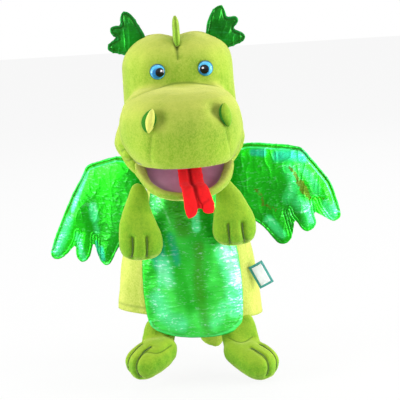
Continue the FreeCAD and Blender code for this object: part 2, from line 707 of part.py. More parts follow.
def wing_outline():
    """Three padded fingers, as distance from the root and height."""
    top = WING_TOP
    low = WING_BOTTOM
    span = WING_SPAN
    return [
        (WING_ROOT_RADIUS, WING_ROOT_BOTTOM + 2), (WING_ROOT_RADIUS, WING_ROOT_TOP - 2), (9, WING_ROOT_TOP + 7),
        (15, top - 24), (21, top - 7), (32, top), (span * 0.5, top - 1), (span * 0.68, top - 5),
        (span * 0.77, top - 12), (span * 0.88, top - 34),
        (span * 0.96, top - 58), (span, low + 31), (span * 0.985, low + 17), (span * 0.92, low + 16),
        (span * 0.845, low + 26), (span * 0.785, low + 36), (span * 0.775, low + 22), (span * 0.72, low + 9),
        (span * 0.645, low + 13), (span * 0.585, low + 24), (span * 0.565, low + 31), (span * 0.55, low + 14),
        (span * 0.48, low), (span * 0.39, low + 3), (span * 0.27, low + 19), (span * 0.12, WING_ROOT_BOTTOM - 5),
    ]


def make_wings(sleeve):
    bead = Part.makeCylinder(
        WING_ROOT_RADIUS, WING_ROOT_TOP - WING_ROOT_BOTTOM, V(WING_ROOT_X, 2 * SLEEVE_HALF_DEPTH, WING_ROOT_BOTTOM))
    bead = close_up(bead, sleeve, V(0, -1, 0))
    wing_y = bead.BoundBox.Center.y
    points = [(WING_ROOT_X + s, z) for s, z in wing_outline()]
    plate = outline_plate(points, WING_THICKNESS, wing_y)
    front = outline_plate(points, FOIL, wing_y - (WING_THICKNESS - FOIL) / 2).cut(bead)
    wadding = outline_plate(shrink(points, SEAM), WING_THICKNESS - 2 * FOIL, wing_y).cut(bead)
    back = plate.cut(front).cut(wadding).fuse(bead)
    for side, sweep in WING_SWEEP.items():
        for name, shape in (("wing_front_", front), ("wing_wadding_", wadding), ("wing_back_", back)):
            swept = shape.copy()
            swept.rotate(V(WING_ROOT_X, wing_y, 0), V(0, 0, 1), sweep)
            save(name + side, for_side(swept, side))
    return wing_y


def make_tail(sleeve):
    root = Part.makeCylinder(
        TAIL_ROOT_RADIUS, 2 * TAIL_ROOT_HALF_WIDTH,
        V(-TAIL_ROOT_HALF_WIDTH, 2 * SLEEVE_HALF_DEPTH, TAIL_HINGE_HEIGHT), V(1, 0, 0))
    root = close_up(root, sleeve, V(0, -1, 0))
    tail_y = root.BoundBox.Center.y
    front = tail_y - TAIL_ROOT_RADIUS
    drop = TAIL_TIP_HEIGHT - TAIL_HINGE_HEIGHT

    def form(inset):
        stations = [
            (TAIL_HINGE_HEIGHT + down * drop, TAIL_TIP_X * across, front + deep, wide, deep)
            for down, across, wide, deep in (
                (1.0, 1.0, 5, 4), (0.94, 0.97, 9.5, 7), (0.82, 0.85, 11.5, 8), (0.6, 0.55, 13, 9),
                (0.36, 0.25, 15, 9.5), (0.16, 0.06, 15.5, 8.5), (0.0, 0.0, TAIL_ROOT_HALF_WIDTH - 0.5, TAIL_ROOT_RADIUS - 0.2),
            )
        ]
        hinge = Part.makeCylinder(
            TAIL_ROOT_RADIUS - inset, 2 * (TAIL_ROOT_HALF_WIDTH - inset),
            V(inset - TAIL_ROOT_HALF_WIDTH, tail_y, TAIL_HINGE_HEIGHT), V(1, 0, 0))
        return level_loft(stations, inset).fuse(hinge)

    inner = form(PLUSH)
    save("tail", form(0).cut(inner))
    save("tail_stuffing", inner)
    return tail_y


def main():
    os.makedirs("parts", exist_ok=True)
    sleeve = make_sleeve()
    make_panel()
    make_label(sleeve)
    make_head()
    make_jaw()
    make_tongue()
    root_y = make_arms(sleeve)
    make_legs()
    wing_y = make_wings(sleeve)
    tail_y = make_tail(sleeve)
    print(f"joint axes: arms meet the sleeve at y {root_y:.3f}, wings turn at y {wing_y:.3f}, "
          f"tail at y {tail_y:.3f}")


main()
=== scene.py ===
# %% [markdown]
# # A plush dragon hand puppet with a moving mouth
# The real puppet is a velour glove: a sleeve that the hand goes up, a stuffed head with a mouth that the
# fingers open, and padded wings, ears, arms, legs and a tail sewn on. Each of these is made here as its own
# soft piece, drawn in millimetres round the same origin as the construction model and then set down in
# metres. First the construction model is loaded: it holds the sizes, the bodies and the joints.

# %% Load the frame
import json
import math

import bmesh
import bpy
import numpy as np
from mathutils import Matrix, Vector, noise
from mathutils.bvhtree import BVHTree


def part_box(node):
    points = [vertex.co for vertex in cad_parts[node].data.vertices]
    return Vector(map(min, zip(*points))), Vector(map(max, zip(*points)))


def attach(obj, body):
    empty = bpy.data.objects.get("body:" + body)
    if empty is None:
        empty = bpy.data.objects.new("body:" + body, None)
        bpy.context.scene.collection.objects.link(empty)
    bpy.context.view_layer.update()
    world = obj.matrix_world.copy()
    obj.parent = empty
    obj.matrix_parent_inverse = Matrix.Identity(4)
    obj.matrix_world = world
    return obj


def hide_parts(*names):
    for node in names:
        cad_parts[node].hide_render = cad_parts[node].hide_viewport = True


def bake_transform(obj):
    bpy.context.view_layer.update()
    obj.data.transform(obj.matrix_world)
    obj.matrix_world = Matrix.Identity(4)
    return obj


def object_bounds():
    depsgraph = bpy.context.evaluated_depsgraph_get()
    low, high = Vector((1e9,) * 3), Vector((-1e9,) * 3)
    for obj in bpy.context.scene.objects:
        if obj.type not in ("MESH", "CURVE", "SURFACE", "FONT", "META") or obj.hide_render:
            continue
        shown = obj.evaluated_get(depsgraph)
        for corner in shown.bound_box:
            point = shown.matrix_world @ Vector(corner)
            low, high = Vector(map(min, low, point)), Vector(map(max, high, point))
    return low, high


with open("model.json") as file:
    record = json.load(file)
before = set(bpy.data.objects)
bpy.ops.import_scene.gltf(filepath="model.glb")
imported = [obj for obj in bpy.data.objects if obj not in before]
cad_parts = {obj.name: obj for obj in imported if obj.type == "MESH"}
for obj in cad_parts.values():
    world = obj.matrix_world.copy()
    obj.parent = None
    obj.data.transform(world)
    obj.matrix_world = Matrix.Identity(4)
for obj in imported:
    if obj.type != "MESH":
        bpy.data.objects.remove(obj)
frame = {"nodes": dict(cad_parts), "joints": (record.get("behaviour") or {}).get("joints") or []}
cad_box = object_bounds()
JOINT_AT = {joint["name"]: Vector(joint["pos_m"]) * 1000 for joint in frame["joints"]}
print("joints, in mm:", {name: [round(c, 1) for c in at] for name, at in JOINT_AT.items()})

# %% [markdown]
# ## How soft forms are drawn
# A sewn and stuffed form is round in section, and changes slowly along its length. So the basic move is a
# loft: a circle is squared off a little, extruded from station to station, and moved, turned and scaled at
# each one. Both ends are closed. Everything is in millimetres until the piece is set down.

# %% Lofts
MM = 0.001
UP = Vector((0, 0, 1))
ACROSS = Vector((1, 0, 0))


def oval(centre, half_width, half_depth, along=UP, across=ACROSS):
    """Where a unit circle goes to become an oval round the centre, square to the direction along."""
    along = Vector(along).normalized()
    depth = along.cross(Vector(across)).normalized()
    width = depth.cross(along)
    turn = Matrix((width, depth, along)).transposed().to_4x4()
    return Matrix.Translation(centre) @ turn @ Matrix.Diagonal((half_width, half_depth, 1, 1))


def loft(stations, count=36, power=2.3, closed=True):
    """A form through ovals, each one a matrix from oval()."""
    bm = bmesh.new()
    ring = bmesh.ops.create_circle(bm, cap_ends=False, segments=count, radius=1)["verts"]
    for vert in ring:
        for axis in (0, 1):
            vert.co[axis] = math.copysign(abs(vert.co[axis]) ** (2 / power), vert.co[axis])
    edges = bm.edges[:]
    ends = [edges]
    last = Matrix.Identity(4)
    for index, matrix in enumerate(stations):
        if index:
            grown = bmesh.ops.extrude_edge_only(bm, edges=edges)["geom"]
            ring = [part for part in grown if isinstance(part, bmesh.types.BMVert)]
            here = set(ring)
            edges = [part for part in grown
                     if isinstance(part, bmesh.types.BMEdge) and set(part.verts) <= here]
        bmesh.ops.transform(bm, matrix=matrix @ last.inverted(), verts=ring)
        last = matrix
    ends.append(edges)
    if closed:
        for loop in ends:
            cap = bmesh.ops.contextual_create(bm, geom=loop)["faces"]
            bmesh.ops.poke(bm, faces=cap)
    bmesh.ops.recalc_face_normals(bm, faces=bm.faces)
    return bm


def add(name, data):
    """A new object in the scene."""
    made = bpy.data.objects.new(name, data)
    bpy.context.scene.collection.objects.link(made)
    return made


def join(*forms):
    """Several forms in one bmesh."""
    whole = forms[0]
    for form in forms[1:]:
        mesh = bpy.data.meshes.new("part")
        form.to_mesh(mesh)
        form.free()
        whole.from_mesh(mesh)
        bpy.data.meshes.remove(mesh)
    return whole


def set_down(bm, name):
    """The form as an object, in metres and smooth."""
    bmesh.ops.scale(bm, vec=(MM, MM, MM), verts=bm.verts)
    bmesh.ops.remove_doubles(bm, verts=bm.verts, dist=0.00001)
    bmesh.ops.recalc_face_normals(bm, faces=bm.faces)
    mesh = bpy.data.meshes.new(name)
    bm.to_mesh(mesh)
    bm.free()
    mesh.shade_smooth()
    return add(name, mesh)


def settle(piece):
    """Applies the piece's modifiers to its mesh."""
    depsgraph = bpy.context.evaluated_depsgraph_get()
    mesh = bpy.data.meshes.new_from_object(piece.evaluated_get(depsgraph), depsgraph=depsgraph)
    piece.modifiers.clear()
    piece.data = mesh
    mesh.shade_smooth()
    return piece


def refine(piece, levels=1):
    """Divides the piece's faces smoothly, once it is settled."""
    finer = piece.modifiers.new("finer", "SUBSURF")
    finer.levels = finer.render_levels = levels


def thicken(piece, thickness, offset=-1):
    """Gives a sheet its cloth's thickness, in millimetres, once it is settled."""
    wall = piece.modifiers.new("cloth", "SOLIDIFY")
    wall.thickness = thickness * MM
    wall.offset = offset
    return piece


def mirror(piece):
    """Turns a right piece into a left one."""
    piece.data.transform(Matrix.Diagonal((-1, 1, 1, 1)))
    piece.data.flip_normals()


def melt(piece, voxel, rounds=2):
    """Fuses the piece's overlapping forms into one skin of even quads, and softens the joins."""
    remesh = piece.modifiers.new("skin", "REMESH")
    remesh.mode = "VOXEL"
    remesh.voxel_size = voxel * MM
    soften = piece.modifiers.new("soften", "SMOOTH")
    soften.iterations = rounds
    soften.factor = 0.5
    refine(piece)
    settle(piece)
    print(f"{piece.name}: {len(piece.data.polygons)} faces")
    return piece


# %% [markdown]
# ## How cloth details are worked in
# Seams, darts and creases are pulled into the finished skin, as a thread pulls real plush together: points
# near the sewn line sink along their normals. The same distance is kept on the mesh as an attribute, so the
# material can darken the sewn line, where the pile parts, and paint shade into the fold. Loose cloth also
# gets soft folds from smooth noise.

# %% Working a skin
def points_of(piece):
    flat = np.empty(len(piece.data.vertices) * 3)
    piece.data.vertices.foreach_get("co", flat)
    return flat.reshape(-1, 3) / MM


def normals_of(piece):
    flat = np.empty(len(piece.data.vertices) * 3)
    piece.data.vertices.foreach_get("normal", flat)
    return flat.reshape(-1, 3)


def tell(piece):
    """Prints the piece's box in millimetres."""
    points = points_of(piece)
    print(piece.name, "mm:", *(np.round(corner, 1).tolist() for corner in (points.min(0), points.max(0))))


def bell(distance, width):
    """1 at the line, and nothing a few widths away."""
    return np.exp(-((distance / width) ** 2))


def move_to(piece, points):
    piece.data.vertices.foreach_set("co", (points * MM).ravel())
    piece.data.update()


def mark(piece, name, share):
    """Keeps the larger of what the attribute holds and the new share, from 0 to 1."""
    layer = piece.data.attributes.get(name) or piece.data.attributes.new(name, "FLOAT", "POINT")
    held = np.zeros(len(piece.data.vertices), np.float32)
    layer.data.foreach_get("value", held)
    layer.data.foreach_set("value", np.maximum(held, share).astype(np.float32))


def even_line(points, step=1.0):
    """A smooth line through the points, as close points."""
    curve = bpy.data.curves.new("line", "CURVE")
    curve.dimensions = "3D"
    spline = curve.splines.new("BEZIER")
    spline.bezier_points.add(len(points) - 1)
    for knot, point in zip(spline.bezier_points, points):
        knot.co = point
        knot.handle_left_type = knot.handle_right_type = "AUTO"
    length = sum((Vector(b) - Vector(a)).length for a, b in zip(points, points[1:]))
    spline.resolution_u = max(2, min(64, round(length / step / (len(points) - 1))))
    holder = bpy.data.objects.new("line", curve)
    mesh = bpy.data.meshes.new_from_object(holder)
    line = [vert.co.copy() for vert in mesh.vertices]
    bpy.data.objects.remove(holder)
    bpy.data.curves.remove(curve)
    bpy.data.meshes.remove(mesh)
    return line


def distance_to(points, line):
    """How far each point is from the line."""
    line = np.array([list(point) for point in line])
    nearest = np.full(len(points), 1e9)
    for start, end in zip(line, line[1:]):
        span = end - start
        share = np.clip((points - start) @ span / max(span @ span, 1e-9), 0, 1)
        offset = points - (start + share[:, None] * span)
        nearest = np.minimum(nearest, np.sqrt((offset * offset).sum(1)))
    return nearest


def onto(piece, points, towards, start=300.0):
    """The points slid along a direction until they meet the skin; those that miss are left out."""
    tree = BVHTree.FromObject(piece, bpy.context.evaluated_depsgraph_get())
    towards = Vector(towards).normalized()
    met = []
    for point in points:
        origin = (Vector(point) - towards * start) * MM
        hit = tree.ray_cast(origin, towards)[0]
        if hit is not None:
            met.append(hit / MM)
    return met


def hug(piece, points):
    """The nearest places on the skin, evened into one smooth line."""
    tree = BVHTree.FromObject(piece, bpy.context.evaluated_depsgraph_get())
    return [tree.find_nearest(Vector(point) * MM)[0] / MM for point in even_line(points, 1.5)]


def carve(piece, line, depth, width, dark=0.5, strength=1.0):
    """Pulls a sewn line into the skin, and marks it for a darker seam line and painted shade in the fold."""
    points = points_of(piece)
    away = distance_to(points, line)
    move_to(piece, points - normals_of(piece) * (depth * bell(away, width))[:, None])
    mark(piece, "seam_and_shade", strength * bell(away, dark * width))


def swell(piece, centre, radii, height):
    """Raises a soft mound, or a hollow where the height is negative, along the normals."""
    points = points_of(piece)
    share = (((points - np.array(centre)) / np.array(radii)) ** 2).sum(1)
    move_to(piece, points + normals_of(piece) * (height * np.exp(-share))[:, None])


def rumple(piece, size, height, stretch=(1, 1, 1), seed=0.0, ridged=False, keep=None):
    """Soft folds of a size, in millimetres, pulled longer along the axes with a stretch below 1."""
    points = points_of(piece)
    shift = Vector((seed, seed * 1.7, -seed))
    scaled = points * np.array(stretch) / size
    if ridged:
        lift = np.array([1 - 2 * abs(noise.noise(Vector(point) + shift)) for point in scaled])
        lift = lift ** 3
    else:
        lift = np.array([noise.noise(Vector(point) + shift) for point in scaled])
    if keep is not None:
        lift = lift * keep
    move_to(piece, points + normals_of(piece) * (height * lift)[:, None])


def tube(line, radius, count=8):
    """A thread or cord form along close points."""
    stations = []
    for index, point in enumerate(line):
        before = line[max(index - 1, 0)]
        after = line[min(index + 1, len(line) - 1)]
        along = after - before
        across = ACROSS if abs(along.normalized().x) < 0.9 else UP
        stations.append(oval(point, radius, radius, along, across))
    return loft(stations, count, 2)


# %% [markdown]
# ## How a finish is written
# A material is a small piece of arithmetic over the surface: where am I, how much painted shade goes in the
# fold here, how much painted top light goes on a face that turns upwards. A wrapped socket lets that be
# written as ordinary sums, each of which adds a Math node.

# %% Finishes as arithmetic
class Wire:
    """A node's output that can be used in sums."""

    def __init__(self, finish, socket):
        self.finish = finish
        self.socket = socket

    def sum(self, operation, *values):
        return self.finish.node("ShaderNodeMath", {"operation": operation}, dict(enumerate(values)))

    def __add__(self, other):
        return self.sum("ADD", self, other)

    def __sub__(self, other):
        return self.sum("SUBTRACT", self, other)

    def __rsub__(self, other):
        return self.sum("SUBTRACT", other, self)

    def __mul__(self, other):
        return self.sum("MULTIPLY", self, other)

    def between(self, low, high):
        """0 below low, 1 above high, and smooth between."""
        inputs = {"Value": self, "From Min": low, "From Max": high}
        return self.finish.node("ShaderNodeMapRange", {"interpolation_type": "SMOOTHSTEP"}, inputs)

    __radd__ = __add__
    __rmul__ = __mul__


class Finish:
    """One material: its shader, and the nodes that feed it."""

    def __init__(self, name, **constants):
        self.material = bpy.data.materials.new(name)
        self.material.use_nodes = True
        self.tree = self.material.node_tree
        self.shader = self.tree.nodes["Principled BSDF"]
        for label, value in constants.items():
            self.shader.inputs[label.replace("_", " ")].default_value = value

    def node(self, kind, settings=None, inputs=None, output=0):
        made = self.tree.nodes.new(kind)
        for key, value in (settings or {}).items():
            setattr(made, key, value)
        for key, value in (inputs or {}).items():
            self.feed(made.inputs[key], value)
        return Wire(self, made.outputs[output])

    def feed(self, socket, value):
        if isinstance(value, Wire):
            self.tree.links.new(value.socket, socket)
        else:
            socket.default_value = value

    def give(self, **sockets):
        """Feeds the shader's sockets."""
        for label, value in sockets.items():
            self.feed(self.shader.inputs[label.replace("_", " ")], value)
        return self.material

    def place(self, scale=(1, 1, 1)):
        """Object coordinates, stretched."""
        where = self.node("ShaderNodeTexCoord", output="Object")
        return self.node("ShaderNodeMapping", {}, {"Vector": where, "Scale": scale})

    def clouds(self, scale, detail=3.0, where=None, warp=0.0):
        inputs = {"Vector": where or self.place(), "Scale": scale, "Detail": detail, "Distortion": warp}
        return self.node("ShaderNodeTexNoise", {}, inputs)

    def blend(self, share, low, high):
        return self.node("ShaderNodeMix", {"data_type": "RGBA"}, {0: share, 6: low, 7: high}, 2)

    def attribute(self, name):
        return self.node("ShaderNodeAttribute", {"attribute_name": name}, {}, "Fac")

    def bump(self, height, distance, strength):
        return self.node("ShaderNodeBump", {}, {"Height": height, "Distance": distance, "Strength": strength})


def tint(red, green, blue):
    """A colour written as it looks, turned into the linear values that nodes use."""
    def linear(share):
        return share / 12.92 if share <= 0.04045 else ((share + 0.055) / 1.055) ** 2.4
    return tuple(linear(value / 255) for value in (red, green, blue)) + (1.0,)


def sunk(colour):
    """The colour darkened, as painted shade in a sewn fold."""
    return tuple(share * 0.35 for share in colour[:3]) + (1.0,)


# %% [markdown]
# ## Velour
# Velour is a knit with a short dense pile. Light slides off the tips of the pile, so it looks pale where it
# turns away and deeper where it faces you: the shader's sheen does that. Brushing leaves soft patches, faces
# that turn upwards are painted paler as a painted top light, and a sewn fold shows as a thin dark line with
# painted shade.

# %% Velour
def velour(name, deep, mid, pale, line, painted_top_light=0.55, sheen=0.75, sheen_tint=(244, 240, 150)):
    deep, mid, pale, line = (tint(*colour) for colour in (deep, mid, pale, line))
    finish = Finish(name, Roughness=0.95, Sheen_Weight=sheen, Sheen_Roughness=0.38,
        Sheen_Tint=tint(*sheen_tint))
    facing = finish.node("ShaderNodeTexCoord", output="Normal")
    upward = finish.node("ShaderNodeSeparateXYZ", {}, {"Vector": facing}, "Z")
    patches = finish.clouds(22, 2.0, warp=0.6).between(0.32, 0.68)
    streaks = finish.clouds(120, 3.0, finish.place((1, 1, 0.3))).between(0.3, 0.75)
    colour = finish.blend(patches * 0.7 + streaks * 0.3, deep, mid)
    # Painted top light: faces that turn upwards are blended towards the pale colour.
    colour = finish.blend(upward.between(-0.15, 0.95) * painted_top_light + streaks * 0.12, colour, pale)
    seam_and_shade = finish.attribute("seam_and_shade")
    pile = finish.clouds(1100, 2.0, finish.place((1, 1, 0.6)))
    fluff = finish.clouds(420, 3.0)
    colour = finish.blend((pile * 0.6 + fluff * 0.4).between(0.36, 0.7) * 0.34, colour, pale)
    colour = finish.blend((1 - fluff * 0.5 - pile * 0.5).between(0.5, 0.7) * 0.12, colour, line)
    # Seam lines darkened, with painted shade in creases and hollows marked the same way.
    colour = finish.blend(seam_and_shade * 0.85, colour, line)
    lift = pile * 0.6 + fluff * 0.4
    return finish.give(Base_Color=colour, Normal=finish.bump(lift, 0.0009, 0.7))


GREEN_LINE = (54, 100, 4)
green_velour = velour("green_velour", (112, 160, 16), (134, 178, 26), (206, 208, 92), GREEN_LINE)
# The sleeve's velour is a paler, yellower copy of the green velour: painted light for its strongly lit sides.
lit_body_velour = velour("lit_body_velour", (156, 182, 50), (190, 206, 78), (234, 230, 136), GREEN_LINE, 0.6)
paw_velour = velour("paw_velour", (78, 148, 0), (104, 168, 4), (178, 204, 52), GREEN_LINE)
# A pale copy of the velour for the left nostril's petal: painted light.
lit_petal_velour = velour("lit_petal_velour", (196, 206, 80), (214, 220, 96), (236, 234, 130), GREEN_LINE, 0.4)
# A dark green for the nostril cups: painted shade inside the nostrils.
shade_velour = velour("shade_velour", (16, 96, 0), (26, 116, 0), (60, 150, 4), GREEN_LINE, 0.2, 0.2,
    (120, 200, 40))
red_velour = velour(
    "red_velour", (236, 0, 6), (255, 0, 12), (255, 16, 24), (110, 0, 2), 0.1, 0.1, (255, 30, 30))

# %% [markdown]
# ## Shiny crinkled cloth
# The wings, ears and belly are a thin knit with a film of colour-shifting foil. Where it was sewn and turned
# it wrinkles, and each facet seems to throw back another green: that shine, the sparkle and the glints are
# painted highlights in the colour, with painted shade laid on as strokes. The film is part metal, with a
# clear coat, and the crinkles are a bump made from stretched noise.

# %% Foil
def foil(name, deep, mid, bright, glint, worn, patch, crisp, sparks=0.5):
    deep, mid, bright, glint, worn = (tint(*colour) for colour in (deep, mid, bright, glint, worn))
    finish = Finish(
        name, Metallic=0.7, Roughness=0.4, Coat_Weight=0.06, Coat_Roughness=0.15, Specular_IOR_Level=0.3)
    drift = finish.clouds(patch, 2.0, None, 0.8)
    streaks = finish.clouds(patch * 3, 3.0, finish.place((1, 1, 0.4)), 1.2)
    crinkle = finish.clouds(170, 4.0, finish.place((0.35, 0.35, 1.3)), 1.6)
    fine = finish.clouds(700, 2.0, finish.place((0.5, 0.5, 1)))
    ragged = (streaks - 0.5) * 1.1 + (crinkle - 0.5) * 0.5

    def laid(name, low=0.2, high=0.9):
        stroke = finish.attribute(name)
        return (stroke + ragged * stroke).between(low, high)

    colour = finish.blend(drift.between(0.36, 0.62), deep, mid)
    # Painted shade where the shade strokes lie.
    colour = finish.blend(laid("shade") * 0.85, colour, deep)
    # Painted shine: brighter where the noises run high.
    shine = (drift * 0.5 + streaks * 0.3 + crinkle * 0.2).between(0.54, 0.66) * 0.5
    colour = finish.blend(shine, colour, bright)
    colour = finish.blend(laid("olive") * 0.85, colour, tint(54, 150, 22))
    colour = finish.blend(laid("teal") * 0.8, colour, tint(24, 160, 130))
    # Painted highlights and reflections in mint, laid on as strokes.
    colour = finish.blend(laid("mint_highlight") * 0.75, colour, bright)
    # Painted sparkle and glints, in fine spots and in strokes.
    sparkle = (crinkle * 0.5 + fine * 0.5).between(0.54, 0.64)
    spark = laid("glint", 0.1, 0.9)
    colour = finish.blend(sparkle * (shine + laid("mint_highlight") * 0.5 + 0.15) * sparks, colour, glint)
    colour = finish.blend(spark * (sparkle * 0.7 + 0.3), colour, glint)
    scratch = (finish.clouds(300, 5.0, None, 1.0) - 0.5) * 2.4
    rubbed = finish.attribute("worn")
    rubbed = (rubbed + scratch * rubbed.between(0.05, 0.6)).between(0.4, 0.6)
    colour = finish.blend(rubbed * 0.85, colour, worn)
    # A painted highlight along rolled edges.
    colour = finish.blend(finish.attribute("rim") * 0.3, colour, bright)
    # Seams darkened, with painted shade in the folds.
    colour = finish.blend(finish.attribute("seam_and_shade") * 0.6, colour, sunk(worn))
    lift = crinkle * 0.8 + streaks * 0.5 + fine * 0.1
    return finish.give(Base_Color=colour, Normal=finish.bump(lift, 0.0022 * crisp, 0.5))


wing_foil = foil(
    "wing_foil", (2, 140, 2), (20, 206, 4), (66, 226, 132), (190, 255, 232), (76, 98, 4), patch=12, crisp=0.5)
ear_foil = foil(
    "ear_foil", (6, 106, 10), (16, 142, 24), (30, 176, 88), (90, 224, 150), (56, 88, 6), patch=26, crisp=0.6)
belly_foil = foil(
    "belly_foil", (30, 172, 30), (72, 230, 84), (96, 242, 164), (214, 255, 250), (70, 120, 8),
    patch=16, crisp=1.0, sparks=0.9)

# %% [markdown]
# ## Mouth cloth, lining, boards and ribbon
# The mouth is covered with a flat mauve knit. Inside, the hand meets a plain green tricot lining, and the
# mouth's two plates are grey board. Toes are sewn with dark thread, and the label is white ribbon with a
# border.

# %% Inner finishes
def knit(name, deep, pale, stitch, roughness=0.85):
    deep, pale = tint(*deep), tint(*pale)
    finish = Finish(name, Roughness=roughness, Sheen_Weight=0.3, Sheen_Roughness=0.5)
    loops = finish.node(
        "ShaderNodeTexWave", {"wave_type": "BANDS", "bands_direction": "X"},
        {"Vector": finish.place(), "Scale": stitch, "Distortion": 1.5, "Detail": 1.0})
    mottle = finish.clouds(60, 4.0)
    grain = finish.clouds(900, 2.0)
    colour = finish.blend(mottle.between(0.3, 0.7) * 0.6 + grain * 0.4, deep, pale)
    # Seam lines darkened, with painted shade where the cloth tucks under.
    colour = finish.blend(finish.attribute("seam_and_shade") * 0.7, colour, sunk(deep))
    return finish.give(Base_Color=colour, Normal=finish.bump(loops * 0.4 + grain * 0.6, 0.0004, 0.6))


mouth_knit = knit("mouth_knit", (196, 146, 176), (222, 176, 206), 500)
lining_knit = knit("lining_knit", (98, 148, 40), (130, 176, 66), 700)
board_grey = knit("board_grey", (96, 92, 88), (120, 116, 110), 90, 0.8)
thread_green = knit("thread_green", (66, 96, 12), (92, 124, 24), 2500, 0.8)
ribbon = knit("ribbon", (236, 240, 238), (250, 252, 250), 1600, 0.5)
ribbon_edge = knit("ribbon_edge", (24, 140, 130), (46, 168, 150), 1600, 0.5)
washer_white = Finish("washer_white", Roughness=0.4)
mottle = washer_white.clouds(200)
washer_white.give(Base_Color=washer_white.blend(mottle, tint(226, 228, 226), tint(240, 240, 238)))

# %% [markdown]
# ## The camera, the light and the floor
# The puppet stands on its feet in a white studio, seen from a little above. The lamps are broad and soft, and
# the white behind comes from what the camera sees of the world, never from more light on the puppet.

# %% Camera and studio
AIM = Vector((0.0158, 0.0, 0.1152))
CAMERA_RISE = 12.0
CAMERA_TURN = -2.6
CAMERA_ROLL = 3.2
CAMERA_REACH = 1.6
LENS_ANGLE = 14.67

camera = add("camera", bpy.data.cameras.new("camera"))
camera.data.angle = math.radians(LENS_ANGLE)
rise = math.radians(CAMERA_RISE)
turn = math.radians(CAMERA_TURN)
camera.location = AIM + CAMERA_REACH * Vector(
    (math.sin(turn) * math.cos(rise), -math.cos(turn) * math.cos(rise), math.sin(rise)))
look = (AIM - camera.location).to_track_quat("-Z", "Y").to_matrix()
camera.rotation_euler = (look @ Matrix.Rotation(math.radians(-CAMERA_ROLL), 3, "Z")).to_euler()
bpy.context.scene.camera = camera

LAMPS = (  # place and size in metres, and watts
    ("front", (-0.3, -1.5, 0.75), 1.0, 1.2),
    ("left", (-1.35, -0.3, 0.2), 0.9, 26.0),
    ("right", (1.35, -0.35, 0.2), 0.9, 31.0),
    ("top", (0.0, -0.1, 1.4), 0.9, 7.0),
    ("back", (0.2, 1.1, 0.8), 0.8, 4.0),
)
for name, where, size, power in LAMPS:
    lamp = add(name, bpy.data.lights.new(name, "AREA"))
    lamp.data.size = size
    lamp.data.energy = power
    lamp.location = where
    lamp.rotation_euler = (AIM - lamp.location).to_track_quat("-Z", "Y").to_euler()

world = bpy.data.worlds.new("studio")
world.use_nodes = True
bpy.context.scene.world = world
seen = world.node_tree.nodes.new("ShaderNodeLightPath")
shown = seen.outputs["Is Camera Ray"]
for ray in ("Is Glossy Ray", "Is Transmission Ray"):
    either = world.node_tree.nodes.new("ShaderNodeMath")
    either.operation = "MAXIMUM"
    world.node_tree.links.new(shown, either.inputs[0])
    world.node_tree.links.new(seen.outputs[ray], either.inputs[1])
    shown = either.outputs[0]
WORLD_LIGHT = 0.28
level = world.node_tree.nodes.new("ShaderNodeMapRange")
level.inputs["To Min"].default_value = WORLD_LIGHT
level.inputs["To Max"].default_value = 1.0
world.node_tree.links.new(shown, level.inputs["Value"])
backdrop = world.node_tree.nodes["Background"]
backdrop.inputs["Color"].default_value = (1, 1, 1, 1)
world.node_tree.links.new(level.outputs[0], backdrop.inputs["Strength"])
bpy.context.scene.view_settings.view_transform = "Standard"
print("camera at", [round(c, 3) for c in camera.location])

# %% [markdown]
# ## The floor
# A sheet of white card. To the camera it is mostly plain white, and keeps a light shadow of the puppet.

# %% Floor
FLOOR_HEIGHT = cad_box[0][2]
bm = bmesh.new()
bmesh.ops.create_grid(bm, x_segments=1, y_segments=1, size=3, matrix=Matrix.Translation((0, 0, FLOOR_HEIGHT)))
floor_mesh = bpy.data.meshes.new("floor")
bm.to_mesh(floor_mesh)
bm.free()
floor = add("floor", floor_mesh)
card = Finish("white_card", Roughness=0.9)
lit = card.node("ShaderNodeLightPath", output="Is Camera Ray")
glow = card.node("ShaderNodeEmission", {}, {"Color": (1, 1, 1, 1), "Strength": 1.0})
both = card.node("ShaderNodeMixShader", {}, {0: lit * 0.9, 1: Wire(card, card.shader.outputs[0]), 2: glow})
card.feed(card.tree.nodes["Material Output"].inputs["Surface"], both)
card.give(Base_Color=tint(236, 236, 236))
floor_mesh.materials.append(card.material)
print("floor at", round(FLOOR_HEIGHT, 4))


# %% [markdown]
# ## Pieces and the bodies they move with
# Every piece takes one finish, and most ride on one of the construction model's bodies and stand for the
# plain solids that they cover. One helper does these together.

# %% Finishing a piece
def dress(piece, finish, body=None, replaces=()):
    piece.data.materials.clear()
    piece.data.materials.append(finish)
    if body:
        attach(piece, body)
    if replaces:
        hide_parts(*replaces)
    return piece


SIDES = {"left": -1, "right": 1}

# %% [markdown]
# ## The head
# The head is two stuffed forms sewn together: a tall cranium that closes round the neck, and a wide muzzle
# in front of it with the upper lip along its lower edge. Both are lofts through level ovals. A dart taken
# in over the crown leaves two soft lobes, so the crown's rings dip in the middle. The two forms are melted
# into one skin, which is how the stuffing fills the corner between them, and cut flat below for the roof of
# the mouth.

